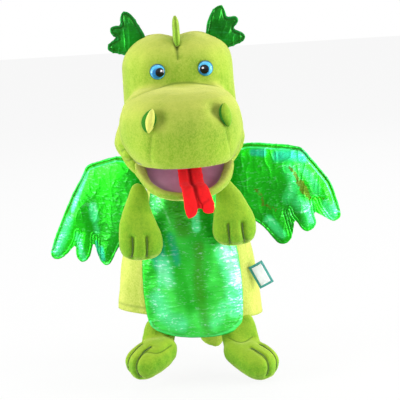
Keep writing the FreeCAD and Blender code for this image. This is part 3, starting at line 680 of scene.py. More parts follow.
# %% Head form
NECK_Y = 14.0
CRANIUM = (  # height, y, half width, half depth
    (138, 13, 46, 46), (144, 13, 50, 49), (154, 12, 53.5, 50.5), (172, 9, 55.5, 51), (196, 7, 57.5, 51),
    (222, 6, 57.5, 51), (246, 6, 57, 50.5), (258, 6, 56.5, 49.5), (266, 6, 54.5, 47.5), (272, 6, 51.5, 44.5),
    (277.5, 6, 46.5, 39.5), (281.6, 6, 40.2, 33.2), (285, 6, 33.2, 27), (287.3, 6, 25, 19.5),
    (288.4, 6, 14, 11), (288.8, 6, 6, 5),
)
MUZZLE = (  # height, x, y, half width, half length
    (169, 0.5, -58, 46.5, 58), (174, 0.4, -59, 50.4, 62.5), (182, -0.6, -60, 55.6, 65.5),
    (194, -1.8, -60, 60.3, 66.5), (206, -1.8, -60, 60.6, 66.5), (218, -1.6, -59, 59, 64),
    (227, -1.2, -57, 55, 60), (234, -1, -54, 48.5, 53), (239, -0.5, -50, 38, 43), (241, 0, -47, 22, 28),
)
PALATE = 171.8

cranium = loft([oval((0.8, y, z), wide - 0.7, deep) for z, y, wide, deep in CRANIUM], 48, 2.25)
muzzle = loft([oval((x, y, z), wide, deep) for z, x, y, wide, deep in MUZZLE], 48, 2.35)
everything = muzzle.verts[:] + muzzle.edges[:] + muzzle.faces[:]
bmesh.ops.bisect_plane(muzzle, geom=everything, plane_co=(0, 0, PALATE), plane_no=(0, 0, 1), clear_inner=True)
bmesh.ops.holes_fill(muzzle, edges=muzzle.edges)
head = set_down(join(cranium, muzzle), "head")
melt(head, 3.0, 3)


MOUTH_BACK_Y = -32
ROOF_ROLL = 1.5


def flatten_roof(piece):
    """Keeps the roof of the mouth flat after the softening, with a rounded lip round it."""
    points = points_of(piece)
    ahead = points[:, 1] < MOUTH_BACK_Y
    low = points[:, 2] < PALATE + ROOF_ROLL
    points[:, 2] = np.where(ahead & low, PALATE, points[:, 2])
    move_to(piece, points)


flatten_roof(head)
tell(head)

# %% [markdown]
# ## Seams and darts of the head
# The muzzle's top panel is sewn to the forehead along a brow seam that arches over the nose. A dart runs down
# the middle of the crown, one runs from each nostril to the lip, and the cheeks have a fold behind the mouth.
# The lines are drawn roughly from the front, slid back until they meet the skin, and carved in.

# %% Head seams
BROW = ((-54, 225), (-48.7, 229), (-39.5, 233), (-29.4, 237), (-19.3, 240), (-9.3, 242.2), (0.7, 243),
    (10.6, 242.8),
        (20.4, 241.6), (30.2, 239.5), (39.9, 236), (49.6, 230.4), (53, 226))
ALONG_SIGHT = (0.044, 0.977, -0.208)
met = onto(head, [(x, -40, z) for x, z in BROW], ALONG_SIGHT)
brow_line = hug(head, [met[0] + Vector((-3, 8, -12)), *met, met[-1] + Vector((3, 8, -12))])
carve(head, brow_line, 1.3, 3.0, 0.3, 0.8)
DART_DEPTH = 4.5
points = points_of(head)
crown = np.clip((points[:, 2] - 262) / 26, 0, 1)
behind = np.exp(-(((points[:, 1] - 2) / 34) ** 4))
pull = DART_DEPTH * crown * behind * bell(points[:, 0], 11)
move_to(head, points - np.array((0, 0, 1)) * pull[:, None])
dart_line = onto(head, even_line([(0, 0, z) for z in (281, 275, 267.5)], 2), (0, 1, 0))
carve(head, dart_line, 1.6, 3.0, 0.34, 0.7)
over_line = onto(head, even_line([(0, y, 0) for y in (-32, -10, 10, 30, 45)], 2), (0, 0, -1), 500)
carve(head, over_line, 1.2, 3.5, 0.3)
for line in (((-31.2, 206), (-33.4, 193), (-33.8, 179)), ((39, 207), (42, 191), (43.3, 178))):
    carve(head, hug(head, onto(head, [(x, 0, z) for x, z in line], (0, 1, 0))), 0.8, 2.4, 0.4, 0.3)
rumple(head, 34, 1.1, (1, 1, 1), 3.1)
rumple(head, 11, 0.35, (1, 1, 0.6), 8.4)
flatten_roof(head)
dress(head, green_velour, "head", ("head_plush", "head_stuffing"))
print("brow seam points:", len(brow_line), " dart points:", len(dart_line))

# %% [markdown]
# ## Eyes
# Each eye is a moulded plastic dome with the iris painted behind it. A quarter circle, flattened, spun round
# gives the dome, with a thin rim that presses into the plush. The paint is a matter of distance from the
# pupil: black pupil set towards the nose, darker ring, bright iris, dark rim, and one white spot, a painted
# highlight.

# %% Eyes
EYE_RADIUS = 7.9
PUPIL_INWARDS = {"left": 2.2, "right": -1.0}
EYE_DOME = 5.2
EYE_AT = {"left": (-20.7, 255.2), "right": (26.4, 255.7)}


def eye_finish(name, x, z, inwards):
    finish = Finish(name, Roughness=0.1, Coat_Weight=0.15, Coat_Roughness=0.03, Specular_IOR_Level=0.3)
    where = finish.node("ShaderNodeTexCoord", output="Object")

    def away(x_mm, z_mm):
        at = (x_mm * MM, 0, z_mm * MM)
        spot = finish.node("ShaderNodeVectorMath", {"operation": "SUBTRACT"}, {0: where, 1: at})
        flat = finish.node("ShaderNodeVectorMath", {"operation": "MULTIPLY"}, {0: spot, 1: (1000, 0, 1000)})
        return finish.node("ShaderNodeVectorMath", {"operation": "LENGTH"}, {0: flat}, "Value")

    centre = away(x, z)
    pupil = away(x + inwards, z - 0.2)
    darker = away(x + inwards * 0.4 - 1.4, z - 1.3)
    # A white spot by the pupil: a painted highlight, standing for the lamp's reflection.
    spot = away(x + inwards - 0.6 + 0.9 * inwards, z + 1.2)
    fibres = finish.clouds(500, 3.0)
    colour = finish.blend(fibres, tint(60, 172, 232), tint(104, 212, 252))
    colour = finish.blend((1 - darker.between(4.6, 6.0)) * 0.85, colour, tint(14, 100, 176))
    colour = finish.blend(1 - pupil.between(4.2, 4.9), colour, tint(4, 8, 16))
    colour = finish.blend(centre.between(6.7, 7.3), colour, tint(10, 84, 120))
    colour = finish.blend(1 - spot.between(0.7, 1.3), colour, tint(250, 246, 255))
    return finish.give(Base_Color=colour, Normal=finish.bump(fibres, 0.00002, 0.2))


for side in SIDES:
    x, z = EYE_AT[side]
    surface = onto(head, [(x, 0, z)], (0, 1, 0))[0].y
    bm = bmesh.new()
    profile = [bm.verts.new((0, 0, 0))]
    for step in range(1, 9):
        angle = step / 8 * math.pi / 2
        profile.append(bm.verts.new((EYE_RADIUS * math.sin(angle), 0, -EYE_DOME * (1 - math.cos(angle)))))
    profile.append(bm.verts.new((EYE_RADIUS, 0, -EYE_DOME - 3)))
    bar = [bm.edges.new(pair) for pair in zip(profile, profile[1:])]
    bmesh.ops.spin(bm, geom=profile + bar, cent=(0, 0, 0), axis=(0, 0, 1), angle=2 * math.pi, steps=40,
        use_merge=True)
    bmesh.ops.rotate(bm, verts=bm.verts, cent=(0, 0, 0), matrix=Matrix.Rotation(math.radians(90), 3, "X"))
    bmesh.ops.translate(bm, verts=bm.verts, vec=(x, surface - EYE_DOME + 1.0, z))
    eye = set_down(bm, "eye_dome_" + side)
    paint_of_eye = eye_finish("eye_paint_" + side, x, z, PUPIL_INWARDS[side])
    dress(eye, paint_of_eye, "head", ("eye_" + side,))
    swell(head, (x, surface, z), (10, 10, 10), -1.2)
    print(eye.name, "on the forehead at y", round(surface, 1))

# %% [markdown]
# ## Nostrils
# A nostril is a petal of velour over a dark cup: a flat egg-shaped disc set into the muzzle, in painted shade
# for the pocket, with a narrower petal standing over its middle. On one side the cup shows beside the petal,
# and on the other the muzzle is drawn in by the stitching, which leaves a soft dimple towards the nose,
# darkened with painted shade.

# %% Nostrils
def egg(piece, at, proud, half, lean):
    """An egg-shaped form laid on the skin and turned on it."""
    tree = BVHTree.FromObject(piece, bpy.context.evaluated_depsgraph_get())
    out = tree.find_nearest(at * MM)[1]
    right = out.cross(UP).normalized() * -1
    place = Matrix((right, -out, out.cross(right) * -1)).transposed().to_4x4()
    bm = bmesh.new()
    bmesh.ops.create_uvsphere(bm, u_segments=28, v_segments=20, radius=1)
    for vert in bm.verts:
        vert.co.x *= max(1 - vert.co.z ** 2, 0) ** 0.35
    turn = Matrix.Rotation(math.radians(lean), 4, "Y") @ Matrix.Diagonal((*half, 1))
    bmesh.ops.transform(bm, matrix=Matrix.Translation(at + out * proud) @ place @ turn, verts=bm.verts)
    return bm


NOSTRILS = {  # cup, petal and dimple as x, z; the half widths of cup and petal; the lean of both
    "left": ((-33.4, 219.0), (-31.6, 218.6), (-23, 220), 8.2, 4.6, 0),
    "right": ((39.3, 219.0), (39.7, 219.0), (30.5, 226), 8.0, 6.4, -13),
}
for side, (cup_at, petal_at, dimple, cup_half, petal_half, lean) in NOSTRILS.items():
    cup_on, petal_on, dimple_on = onto(head, [(x, 0, z) for x, z in (cup_at, petal_at, dimple)], (0, 1, 0))
    # The cup: a dark disc of painted shade, standing for the shadowed inside of the nostril.
    cup = set_down(egg(head, cup_on, 0, (cup_half, 1.6, 11.8), lean), "nostril_cup_" + side)
    dress(cup, shade_velour, "head")
    petal = set_down(egg(head, petal_on, 0.8, (petal_half, 4.2, 12.2), lean), "nostril_petal_" + side)
    rumple(petal, 9, 0.3, seed=2.0)
    # The left petal is paler, painted light; the right one takes the limbs' deeper green.
    pile = lit_petal_velour if side == "left" else paw_velour
    dress(petal, pile, "head", ("nostril_" + side,))
    swell(head, dimple_on, (7.5, 12, 9), -4.2)
    # Painted shade: darker in the dimple, and in a ring round the cup where the nostril goes in.
    near = (((points_of(head) - np.array(dimple_on)) / np.array((6.0, 10, 9.0))) ** 2).sum(1)
    mark(head, "seam_and_shade", 0.34 * np.exp(-near))
    slit = (((points_of(head) - np.array(cup_on)) / np.array((cup_half + 1.4, 9, 13.0))) ** 2).sum(1)
    mark(head, "seam_and_shade", 0.5 * np.exp(-(slit ** 3)))
    print(petal.name, "at", [round(c, 1) for c in petal_on])

# %% [markdown]
# ## Padded shiny shapes: ears and wings
# An ear or a wing is two layers of foil cloth sewn along their edge, turned and lightly filled, then sewn
# again a few millimetres in, which leaves a rolled edge. The outline is a smooth closed line, filled with one
# face and extruded, then turned into an even skin. How thick it is at each point depends only on how far
# that point is from the outline: full at the roll, pinched at the stitching, puffed in the middle.

# %% Quilting
def outline_form(outline, thickness, y):
    """A flat form with a smooth closed outline of x, z pairs."""
    line = even_line([(px, y, pz) for px, pz in outline] + [(outline[0][0], y, outline[0][1])], 1.5)[:-1]
    bm = bmesh.new()
    for point in line:
        bm.verts.new(point)
    bmesh.ops.contextual_create(bm, geom=bm.verts[:])
    grown = bmesh.ops.extrude_face_region(bm, geom=bm.faces[:])["geom"]
    top = [part for part in grown if isinstance(part, bmesh.types.BMVert)]
    bmesh.ops.translate(bm, verts=bm.verts, vec=(0, -thickness / 2, 0))
    bmesh.ops.translate(bm, verts=top, vec=(0, thickness, 0))
    return bm, line


def quilt(piece, edge, y, half, roll, stitch_in, strength=1.0):
    """Sets the half thickness from the distance to the edge, with a rolled rim and a sewn line inside it, and
    marks the line for a dark seam with painted shade and the rim for a painted highlight.
    """
    points = points_of(piece)
    flat = points * np.array((1, 0, 1))
    away = distance_to(flat, [(p[0], 0, p[2]) for p in edge])
    rim = np.sqrt(np.clip(1 - (1 - np.clip(away / roll, 0, 1)) ** 2, 0, 1)) * roll * 0.8
    puff = half * (1 - np.exp(-np.clip(away - stitch_in, 0, None) / (2.2 * half)))
    thick = np.where(away < stitch_in, rim, 0.8 + puff)
    channel = bell(away - stitch_in, 1.1)
    thick = thick * (1 - 0.6 * strength * channel)
    side = np.sign(points[:, 1] - y)
    points[:, 1] = y + side * np.minimum(thick, np.abs(points[:, 1] - y) * 6)
    move_to(piece, points)
    # The sewn line is darkened, with painted shade in the channel, and the rolled rim is marked for a painted
    # highlight.
    mark(piece, "seam_and_shade", strength * channel)
    mark(piece, "rim", strength * bell(away, 1.8))


def paint(piece, strokes, start=0, share=1):
    """Lays strokes on a flat piece: each an attribute, a strength, a half width and a line of x, z pairs."""
    flat = points_of(piece) * np.array((1, 0, 1))
    for name, strength, half, line in strokes:
        away = distance_to(flat, even_line([(start + x * share, 0, z) for x, z in line], 2))
        mark(piece, name, strength * bell(away, half))


# %% Ears
EAR_Y = 4.0
EAR_PAD = 6.0
EAR = {  # x, z pairs of the three lobes, from the inner foot over the tip to the outer foot
    "left": ((27, 272), (30.3, 285), (33.8, 294), (37.4, 300.2), (41, 306.5), (44.8, 310.7), (48.7, 312.5),
             (51.8, 311.6), (53.5, 308.2), (53.9, 303.2), (53.5, 299.3), (57.5, 298.6), (61.7, 298.2),
             (64.4, 296), (64.8, 292.8), (62.3, 288.7), (58.2, 285.6), (61.2, 284.4), (64.8, 282.7),
             (68, 279.9), (68.2, 275.9), (65.4, 272.7), (58.5, 270.2), (48.5, 267), (40, 262)),
    "right": ((29, 273), (31.4, 285.5), (32.8, 292), (34.7, 298.9), (37.6, 305.8), (41.4, 311.1),
              (45.6, 313.4), (49.1, 313.2), (51.4, 309), (52.4, 304), (53.2, 301), (56.5, 300.6),
              (61.6, 300.8), (64.5, 297.6), (63.3, 294.2), (60.4, 290.8), (60, 288.4), (63.9, 286.1),
              (68.9, 283.7), (71.3, 280.6), (70.1, 277.1), (65.3, 273.8), (58.1, 271.2), (51, 269),
              (42, 262)),
}
for side, sign in SIDES.items():
    bm, edge = outline_form(EAR[side], EAR_PAD, EAR_Y)
    ear = set_down(bm, "ear_foil_" + side)
    melt(ear, 1.2, 1)
    quilt(ear, edge, EAR_Y, half=2.6, roll=1.5, stitch_in=2.4, strength=0.7)
    rumple(ear, 7, 0.7, (1, 1, 0.35), 2.3 + sign, True)
    rumple(ear, 13, 0.8, (1, 1, 1), 5.1 + sign)
    if sign < 0:
        mirror(ear)
    dress(ear, ear_foil, "head", ("ear_" + side, "ear_wadding_" + side))

# %% [markdown]
# ## Crown fin
# One small fin of velour stands on the crown, thin across the head and leaning back. It is a flat shape like
# the ears, but stuffed evenly, so its edge is simply rounded.

# %% Fin
FIN_PAD = 6.0
FIN = ((-31, 279), (-29, 288), (-24, 297), (-17, 304), (-10.5, 306.8), (-7, 305), (-5.5, 299), (-3, 291),
    (2, 283), (6, 277), (-12, 272))
bm, edge = outline_form(FIN, FIN_PAD, 0)
fin = set_down(bm, "fin")
melt(fin, 1.2, 1)
points = points_of(fin)
away = distance_to(points * np.array((1, 0, 1)), edge)
half = 0.9 + 2.9 * (1 - np.exp(-away / 4))
points[:, 1] = np.sign(points[:, 1]) * np.minimum(half, np.abs(points[:, 1]) * 6)
move_to(fin, points)
mark(fin, "seam_and_shade", 0.5 * bell(away, 0.8))
rumple(fin, 9, 0.5, seed=4.0)
fin.data.transform(Matrix.Rotation(math.radians(90), 4, "Z"))
fin.data.transform(Matrix.Translation((0.0005, 0, 0)))
dress(fin, paw_velour, "head", ("crown_fin",))
tell(fin)

# %% [markdown]
# ## The lower jaw
# The jaw is a shallow stuffed bowl with a thick rolled lip. It is drawn level, with the mouth's hinge at the
# origin, because that is how it would be cut out: ovals from the chin up to the lip, over the lip and down to
# the floor of the mouth. The back is cut off by two planes, so that it can close without meeting the head.
# Then it is turned down to the slope it has at rest and carried to its hinge.

# %% Jaw
JAW_SLOPE = 20.0
JAW_HINGE = Vector((0, -30, 170))
JAW_RINGS = (  # height, half width, reach, y of the middle
    (-23.5, 9, 18, -26), (-23, 19, 31, -20), (-18.5, 30, 45, -15), (-14, 37, 54, -12), (-10, 42, 62, -10.5),
    (-6, 45.8, 70.5, -9), (-3, 48.2, 77.4, -7), (0, 49.6, 82.2, -5.4), (3.4, 49.6, 82.6, -5),
    (5.8, 47.2, 80.4, -5), (6.2, 43.6, 77.6, -5), (4, 40.8, 75.2, -5), (-0.2, 39.2, 73.8, -5),
    (-1.5, 30, 60, -5), (-1.5, 4, 10, -5),
)
SEAT = Matrix.Translation(JAW_HINGE) @ Matrix.Rotation(math.radians(JAW_SLOPE), 4, "X")


def cut(bm, at, normal, close=True):
    """Cuts off what lies on the side that the normal points to, and closes the cut."""
    everything = bm.verts[:] + bm.edges[:] + bm.faces[:]
    bmesh.ops.bisect_plane(bm, geom=everything, plane_co=at, plane_no=normal, clear_outer=True)
    if close:
        bmesh.ops.holes_fill(bm, edges=bm.edges)


bowl = loft([oval((0, y, z), wide, reach) for z, wide, reach, y in JAW_RINGS], 56, 2.5)
cut(bowl, (0, -5, 0), (0, 0.807, -0.59))
cut(bowl, (0, -3, 0), (0, 1, 0))
cut(bowl, (0, 0, -0.3), (0, 0.14, 1))
bmesh.ops.transform(bowl, matrix=SEAT, verts=bowl.verts)
jaw = set_down(bowl, "jaw")
melt(jaw, 2.2)
chin = even_line(((-36, -66, 128), (-22, -84, 122), (0, -94, 119), (22, -84, 122), (36, -66, 128)), 2)
carve(jaw, onto(jaw, chin, (0, 0.5, 1)), 0.9, 2.6, 0.3, 0.5)
# A thin dark line round the inside of the lip, where it meets the mouth lining, and a softer band on the
# lip's inner slope: both painted shade.
level = np.array([list(SEAT.inverted() @ Vector(point)) for point in points_of(jaw)])
ring = ((np.abs(level[:, 0]) / 39.6) ** 2.5 + (np.abs(level[:, 1] + 5) / 74.2) ** 2.5) ** 0.4
above = level[:, 2] > -1.2
mark(jaw, "seam_and_shade", np.where(above, 0.9 * bell(ring - 1.0, 0.025) + 0.32 * bell(ring - 1.07, 0.05), 0))
rumple(jaw, 26, 0.9, seed=1.2)
rumple(jaw, 9, 0.3, seed=6.2)
dress(jaw, green_velour, "jaw", ("jaw_plush", "jaw_padding"))
tell(jaw)

# %% [markdown]
# ## Mouth lining
# A flat mauve knit covers the two plates that the fingers and the thumb hold. Each half is a thin dished
# sheet, made from rings that grow from the middle of the mouth to its edge and cut off straight at the hinge.

# %% Linings
KNIT_THICKNESS = 0.8
LINING_MIDDLE = 4  # how far in front of the hinge the rings' middle lies
LOWER_HALF, LOWER_REACH = 41.2, 75.5
UPPER_HALF, UPPER_REACH = 43.0, 79.0


def mouth_lining(half_width, reach, height, dish, place, which, body):
    shares = (0.02, 0.2, 0.4, 0.6, 0.75, 0.88, 0.96, 1.0)
    rings = [oval((0, -LINING_MIDDLE, height + dish * share ** 6), half_width * share, reach * share)
             for share in shares]
    bm = loft(rings, 48, 2.5, False)
    hole = [edge for edge in bm.edges if edge.is_boundary and edge.verts[0].co.length < 8]
    bmesh.ops.holes_fill(bm, edges=hole)
    cut(bm, (0, -1.6, 0), (0, 1, 0), False)
    bmesh.ops.transform(bm, matrix=place, verts=bm.verts)
    lining = thicken(set_down(bm, "mouth_lining_" + which), KNIT_THICKNESS, 0)
    refine(lining)
    settle(lining)
    rumple(lining, 22, 0.35, seed=3.3)
    return dress(lining, mouth_knit, body, (which + "_mouth_lining",))


lower_lining = mouth_lining(LOWER_HALF, LOWER_REACH, -0.4, 1.6, SEAT, "lower", "jaw")
roof = Matrix.Translation((0, JAW_HINGE.y, PALATE - 0.9))
mouth_lining(UPPER_HALF, UPPER_REACH, 0.0, -0.2, roof, "upper", "head")
rim_line = [SEAT @ Vector((LOWER_HALF * math.cos(a), -LINING_MIDDLE - LOWER_REACH * math.sin(a), 0))
            for a in np.linspace(0, math.pi, 40)]
# The lining darkens towards its rim, where it tucks under the lip: painted shade.
mark(lower_lining, "seam_and_shade", bell(distance_to(points_of(lower_lining), rim_line), 4.0))
for node in ("upper_mouth_board", "lower_mouth_board"):
    frame["nodes"][node].data.materials.clear()
    frame["nodes"][node].data.materials.append(board_grey)

# %% [markdown]
# ## Tongue
# The tongue is two long pads of red velour sewn together down the middle, which come apart as a fork at the
# tip. Each pad is one flat loft along a line that lies on the lower lining, goes over the lip and hangs down.

# %% Tongue
def on_jaw(x, along, height):
    """A place given on the level jaw, where it is at rest."""
    return SEAT @ Vector((x, -along, height))


TONGUE_HALF = 6.6
TONGUE_MIDDLE = 3.9
PAD_ASIDE = 5.6
TIP_FROM = 0.88  # share of the length where the rounding of the tip starts
TONGUE_RUN = (  # along the jaw, height
    (22, 3.6), (36, 3.4), (52, 3.6), (66, 4.2), (76, 7.8), (85, 9.6), (93, 5.8),
)
PADS = {  # how far to the right the run, the hanging part and the tip go, and the tip's height
    -1: ((0.4, 0.4, 0.6, 0.9, 1.6, 2.5, 3.0), 3.3, 0.4, 123.5),
    1: ((0, 0, 0.2, 0.8, 1.8, 3.4, 5.2), 8.2, 12.5, 127.6),
}
pads = []
for sign, (drift, hanging, end, end_height) in PADS.items():
    middle = sign * PAD_ASIDE + TONGUE_MIDDLE
    run = [on_jaw(middle + aside, along, height) for aside, (along, height) in zip(drift, TONGUE_RUN)]
    last = run[-1]
    run.append(Vector((middle + hanging, last.y - 2.8, last.z - 10)))
    run.append(Vector((middle + end, last.y - 2.2, end_height)))
    line = even_line(run, 2.5)
    total = len(line) - 1
    stations = []
    for index, point in enumerate(line):
        share = index / total
        before, after = line[max(index - 1, 0)], line[min(index + 1, total)]
        if share < TIP_FROM:
            taper = 1.0 + 0.1 * share
        else:
            taper = max(0.12, math.cos((share - TIP_FROM) / 0.12 * math.pi / 2) ** 0.6)
        stations.append(oval(point, TONGUE_HALF * taper, 2.2 * max(taper, 0.4), after - before))
    pads.append(loft(stations, 24, 2.2))
tongue = set_down(join(*pads), "tongue")
melt(tongue, 1.0)
sewn = onto(tongue, [(3.9, -60, 200), (4.0, -80, 200), (4.6, -95, 200), (6.2, -106, 200)], (0, 0, -1))
hung = onto(tongue, [(7.6, 0, 146), (9.2, 0, 139), (10.4, 0, 134)], (0, 1, 0))
carve(tongue, hug(tongue, sewn + hung), 1.6, 3.0, 0.8, 0.6)
fork = onto(tongue, [(10.4, 0, 135), (14.5, 0, 138.5), (18, 0, 141)], (0, 1, 0))
carve(tongue, hug(tongue, fork), 0.8, 1.8, 0.9, 0.35)
rumple(tongue, 8, 0.5, seed=2.0)
dress(tongue, red_velour, "tongue_flap", ("tongue",))
tell(tongue)

# %% [markdown]
# ## Cheeks and throat
# Where the jaw meets the head the cloth is loose, so the mouth can open. At each corner a soft fold hangs
# from the cheek to the jaw, and under the mouth a wide fold makes the throat. They cross the mouth's hinge,
# and are set down fixed in place, riding on no body.

# %% Loose folds
CHEEK_OUT = {"left": 54.6, "right": 50.0}
CHEEK = (  # inwards, y, height, half width, half depth
    (7, -14, 210, 5, 8), (2, -17, 204, 9, 18), (0.5, -20, 194, 12.5, 23), (0, -24, 184, 13, 23),
    (2, -26, 174, 12.5, 20), (6, -29, 165, 10.5, 15), (11, -32, 156, 8, 12), (15, -34, 150, 4, 7),
)
CREASES = (((44, 177), (51, 180), (58, 181.5), (63, 180)), ((45, 173), (51, 171.5), (57, 169.5), (61, 167)))
THROAT = (  # y, height, half width, half depth, slope of the ring's direction
    (-22, 153, 34, 12, 0), (-29, 153, 39, 14.5, 0), (-37, 151.5, 40, 15, -0.1), (-46, 149, 36, 13.5, -0.2),
    (-53, 146, 26, 9, -0.2),
)
for side, sign in SIDES.items():
    out = CHEEK_OUT[side]
    rings = [oval((sign * (out - inwards), y, z), wide, deep) for inwards, y, z, wide, deep in CHEEK]
    cheek = set_down(loft(rings, 28, 2.1), "cheek_fold_" + side)
    melt(cheek, 2.0)
    for line in CREASES:
        crease = onto(cheek, [(sign * (x + out - CHEEK_OUT["left"]), -50, z) for x, z in line], ALONG_SIGHT)
        if len(crease) > 2:
            carve(cheek, hug(cheek, crease), 2.2, 3.4, 0.42, 0.7)
    rumple(cheek, 15, 1.4, seed=7.0 + sign)
    dress(cheek, green_velour)
    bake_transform(cheek)
rings = [oval((0, y, z), wide, deep, (0, -1, slope)) for y, z, wide, deep, slope in THROAT]
throat = set_down(loft(rings, 40, 2.4), "throat_fold")
melt(throat, 2.4)
rumple(throat, 13, 1.2, (0.5, 1, 1), 9.0)
dress(throat, green_velour)
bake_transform(throat)

# %% [markdown]
# ## The sleeve
# The body is a velour glove that the forearm fills: wide at the hem, narrow at the shoulders, and closing
# round the neck inside the head. It is one cloth from hem to neck, so it is one open loft that gets the
# cloth's thickness, hangs a little lower on one side, and falls in long soft folds. The top follows the head.

# %% Sleeve
HEM_LEAN = 0.1
SLEEVE = (  # height, y of the middle, half width, half depth
    (0, 0, 75.6, 33.2), (10, 0, 75.0, 33.3), (20, 0, 73.4, 33.4), (40, 0, 71, 33.8), (60, 0, 68, 34),
    (78, 1.5, 62.5, 34.6), (93, 3, 57, 35.2), (102, 5.5, 52.5, 36), (110, 8.4, 47, 37),
    (118, 11.5, 41.4, 37.2), (125, 14, 37.2, 36.8), (132, 14, 38.6, 38.6), (140, 14, 41, 41),
    (147, 14, 42, 42),
)


def sleeve_at(z):
    """y of the middle, half width and half depth of the sleeve's form at a height."""
    heights, *columns = zip(*SLEEVE)
    return [np.interp(z, heights, column) for column in columns]


def sleeve_sheet(name, inset, low, high, thickness):
    """The part of the sleeve's form between two heights, moved in, as a thick open cloth."""
    rings = []
    for z in sorted({low, high} | {row[0] for row in SLEEVE if low < row[0] < high}):
        y, wide, deep = sleeve_at(z)
        rings.append(oval((0, y, z), wide - inset, deep - inset))
    piece = set_down(loft(rings, 72, 2.2, False), name)
    refine(piece, 2)
    settle(piece)
    points = points_of(piece)
    points[:, 2] -= HEM_LEAN * points[:, 0] * np.clip(1 - points[:, 2] / 60, 0, 1)
    move_to(piece, points)
    fade = np.clip(1 - (points[:, 2] - 100) / 25, 0, 1)
    rumple(piece, 30, 2.2, (1, 1, 0.35), 11.0, keep=fade)
    rumple(piece, 14, 1.0, (1, 1, 0.6), 4.5, keep=fade * np.clip(1.3 - points[:, 2] / 60, 0.3, 1))
    if inset < 1:
        for sign in (-1, 1):
            side_line = even_line([(sign * 200, y, z) for y, z in ((0, -8), (0, 60), (4, 95), (10, 118))], 2)
            carve(piece, onto(piece, side_line, (-sign, 0, 0)), 1.0, 2.2, 0.3)
        hem_line = points_of(piece)[:, 2] + HEM_LEAN * points_of(piece)[:, 0]
        mark(piece, "seam_and_shade", 0.5 * bell(hem_line - 7, 0.8))
    settle(thicken(piece, thickness))
    print(f"{name}: {len(piece.data.polygons)} faces")
    return piece


sleeve = sleeve_sheet("sleeve_velour", 0, 0, 147, 2.4)
dress(sleeve, lit_body_velour, replaces=("sleeve_plush", "neck_cuff"))
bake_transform(sleeve)
hem = sleeve_sheet("sleeve_hem_turn", 2.6, 0, 10, 1.2)
dress(hem, lit_body_velour, "sleeve", ("sleeve_hem",))
lining = sleeve_sheet("sleeve_lining_cloth", 4.0, 7, 118, 0.8)
dress(lining, lining_knit, "sleeve", ("sleeve_lining",))

# %% [markdown]
# ## Belly panel
# The belly is one piece of shiny cloth, sewn up both sides of the sleeve's front, with its curved bottom edge
# hanging free below the hem. It is a grid bent round the sleeve's front, a little proud of it, with a soft
# hollow down the middle, fine cross wrinkles and a topstitched bottom edge.

# %% Belly panel
PANEL_TOP = 128.0
PANEL_LEAN = 0.07
PANEL = (  # height, half width
    (128, 34), (120, 36), (112, 37.6), (105, 39), (98, 41.5), (80, 46), (64, 48.5), (45, 50), (25, 50.4),
    (8, 49.5), (-2, 48.5),
)
PANEL_SHIFT = 3.0


def sleeve_front(x, z):
    """y of the sleeve's front face."""
    middle, wide, deep = sleeve_at(z)
    share = np.clip(np.abs(x) / wide, 0, 0.995)
    return middle - deep * (1 - share ** 2.2) ** (1 / 2.2)


bm = bmesh.new()
bmesh.ops.create_grid(bm, x_segments=64, y_segments=84, size=1)
for vert in bm.verts:
    across, up = vert.co.x, (vert.co.y + 1) / 2
    z = PANEL_TOP - (1 - up) * (PANEL_TOP + 2)
    half = np.interp(z, *zip(*reversed(PANEL)))
    x = across * half + PANEL_SHIFT * (1 - up)
    curve = (1 - abs(across) ** 2.6) ** (1 / 2.6) if abs(across) < 1 else 0
    z -= (1 - up) ** 6 * (20 * curve - 2) + PANEL_LEAN * x * (1 - up) ** 2
    bulge = 2.6 * math.cos(across * math.pi / 2) ** 0.5 if abs(across) < 1 else 0
    hollow = 2.4 * math.exp(-((across - 0.02) / 0.16) ** 2) * up ** 1.2
    vert.co = (x, sleeve_front(x, z) - 1.1 - bulge + hollow, z)
panel = set_down(bm, "belly_panel_foil")
refine(panel)
settle(panel)
if sum(polygon.normal.y for polygon in panel.data.polygons) > 0:
    panel.data.flip_normals()
points = points_of(panel)


def panel_side(z, x):
    """A place on the panel's edge, from its height and its distance from the middle."""
    down = (PANEL_TOP - z) / (PANEL_TOP + 2)
    return (x + PANEL_SHIFT * down, 0, z - PANEL_LEAN * x * down ** 2)


border = [panel_side(z, -x) for z, x in PANEL]
border += [(-42, 0, -9), (-25, 0, -17), (3, 0, -22.3), (30, 0, -20.5), (45, 0, -14)]
border += [panel_side(z, x) for z, x in reversed(PANEL)]
border = even_line(border, 2)
away = distance_to(points * np.array((1, 0, 1)), [(p.x, 0, p.z) for p in border])
area = sum(polygon.area for polygon in panel.data.polygons)
rumple(panel, 26, 2.0, (1, 1, 0.5), 5.7, keep=np.clip(away / 12, 0, 1))
rumple(panel, 7, 0.55, (0.35, 1, 1.6), 2.2, True, keep=np.clip(away / 6, 0, 1))
rumple(panel, 12, 0.8, (0.6, 1, 1), 9.1, keep=np.clip(away / 8, 0, 1))
free = points[:, 2] < 0
# Seams darkened along the sewn sides and the bottom topstitching; the free hem's edge gets a painted
# highlight.
mark(panel, "seam_and_shade", np.where(free, 0.7 * bell(away - 4, 0.7), 0.5 * bell(away, 1.0)))
mark(panel, "rim", np.where(free, bell(away - 2, 1.6), 0))
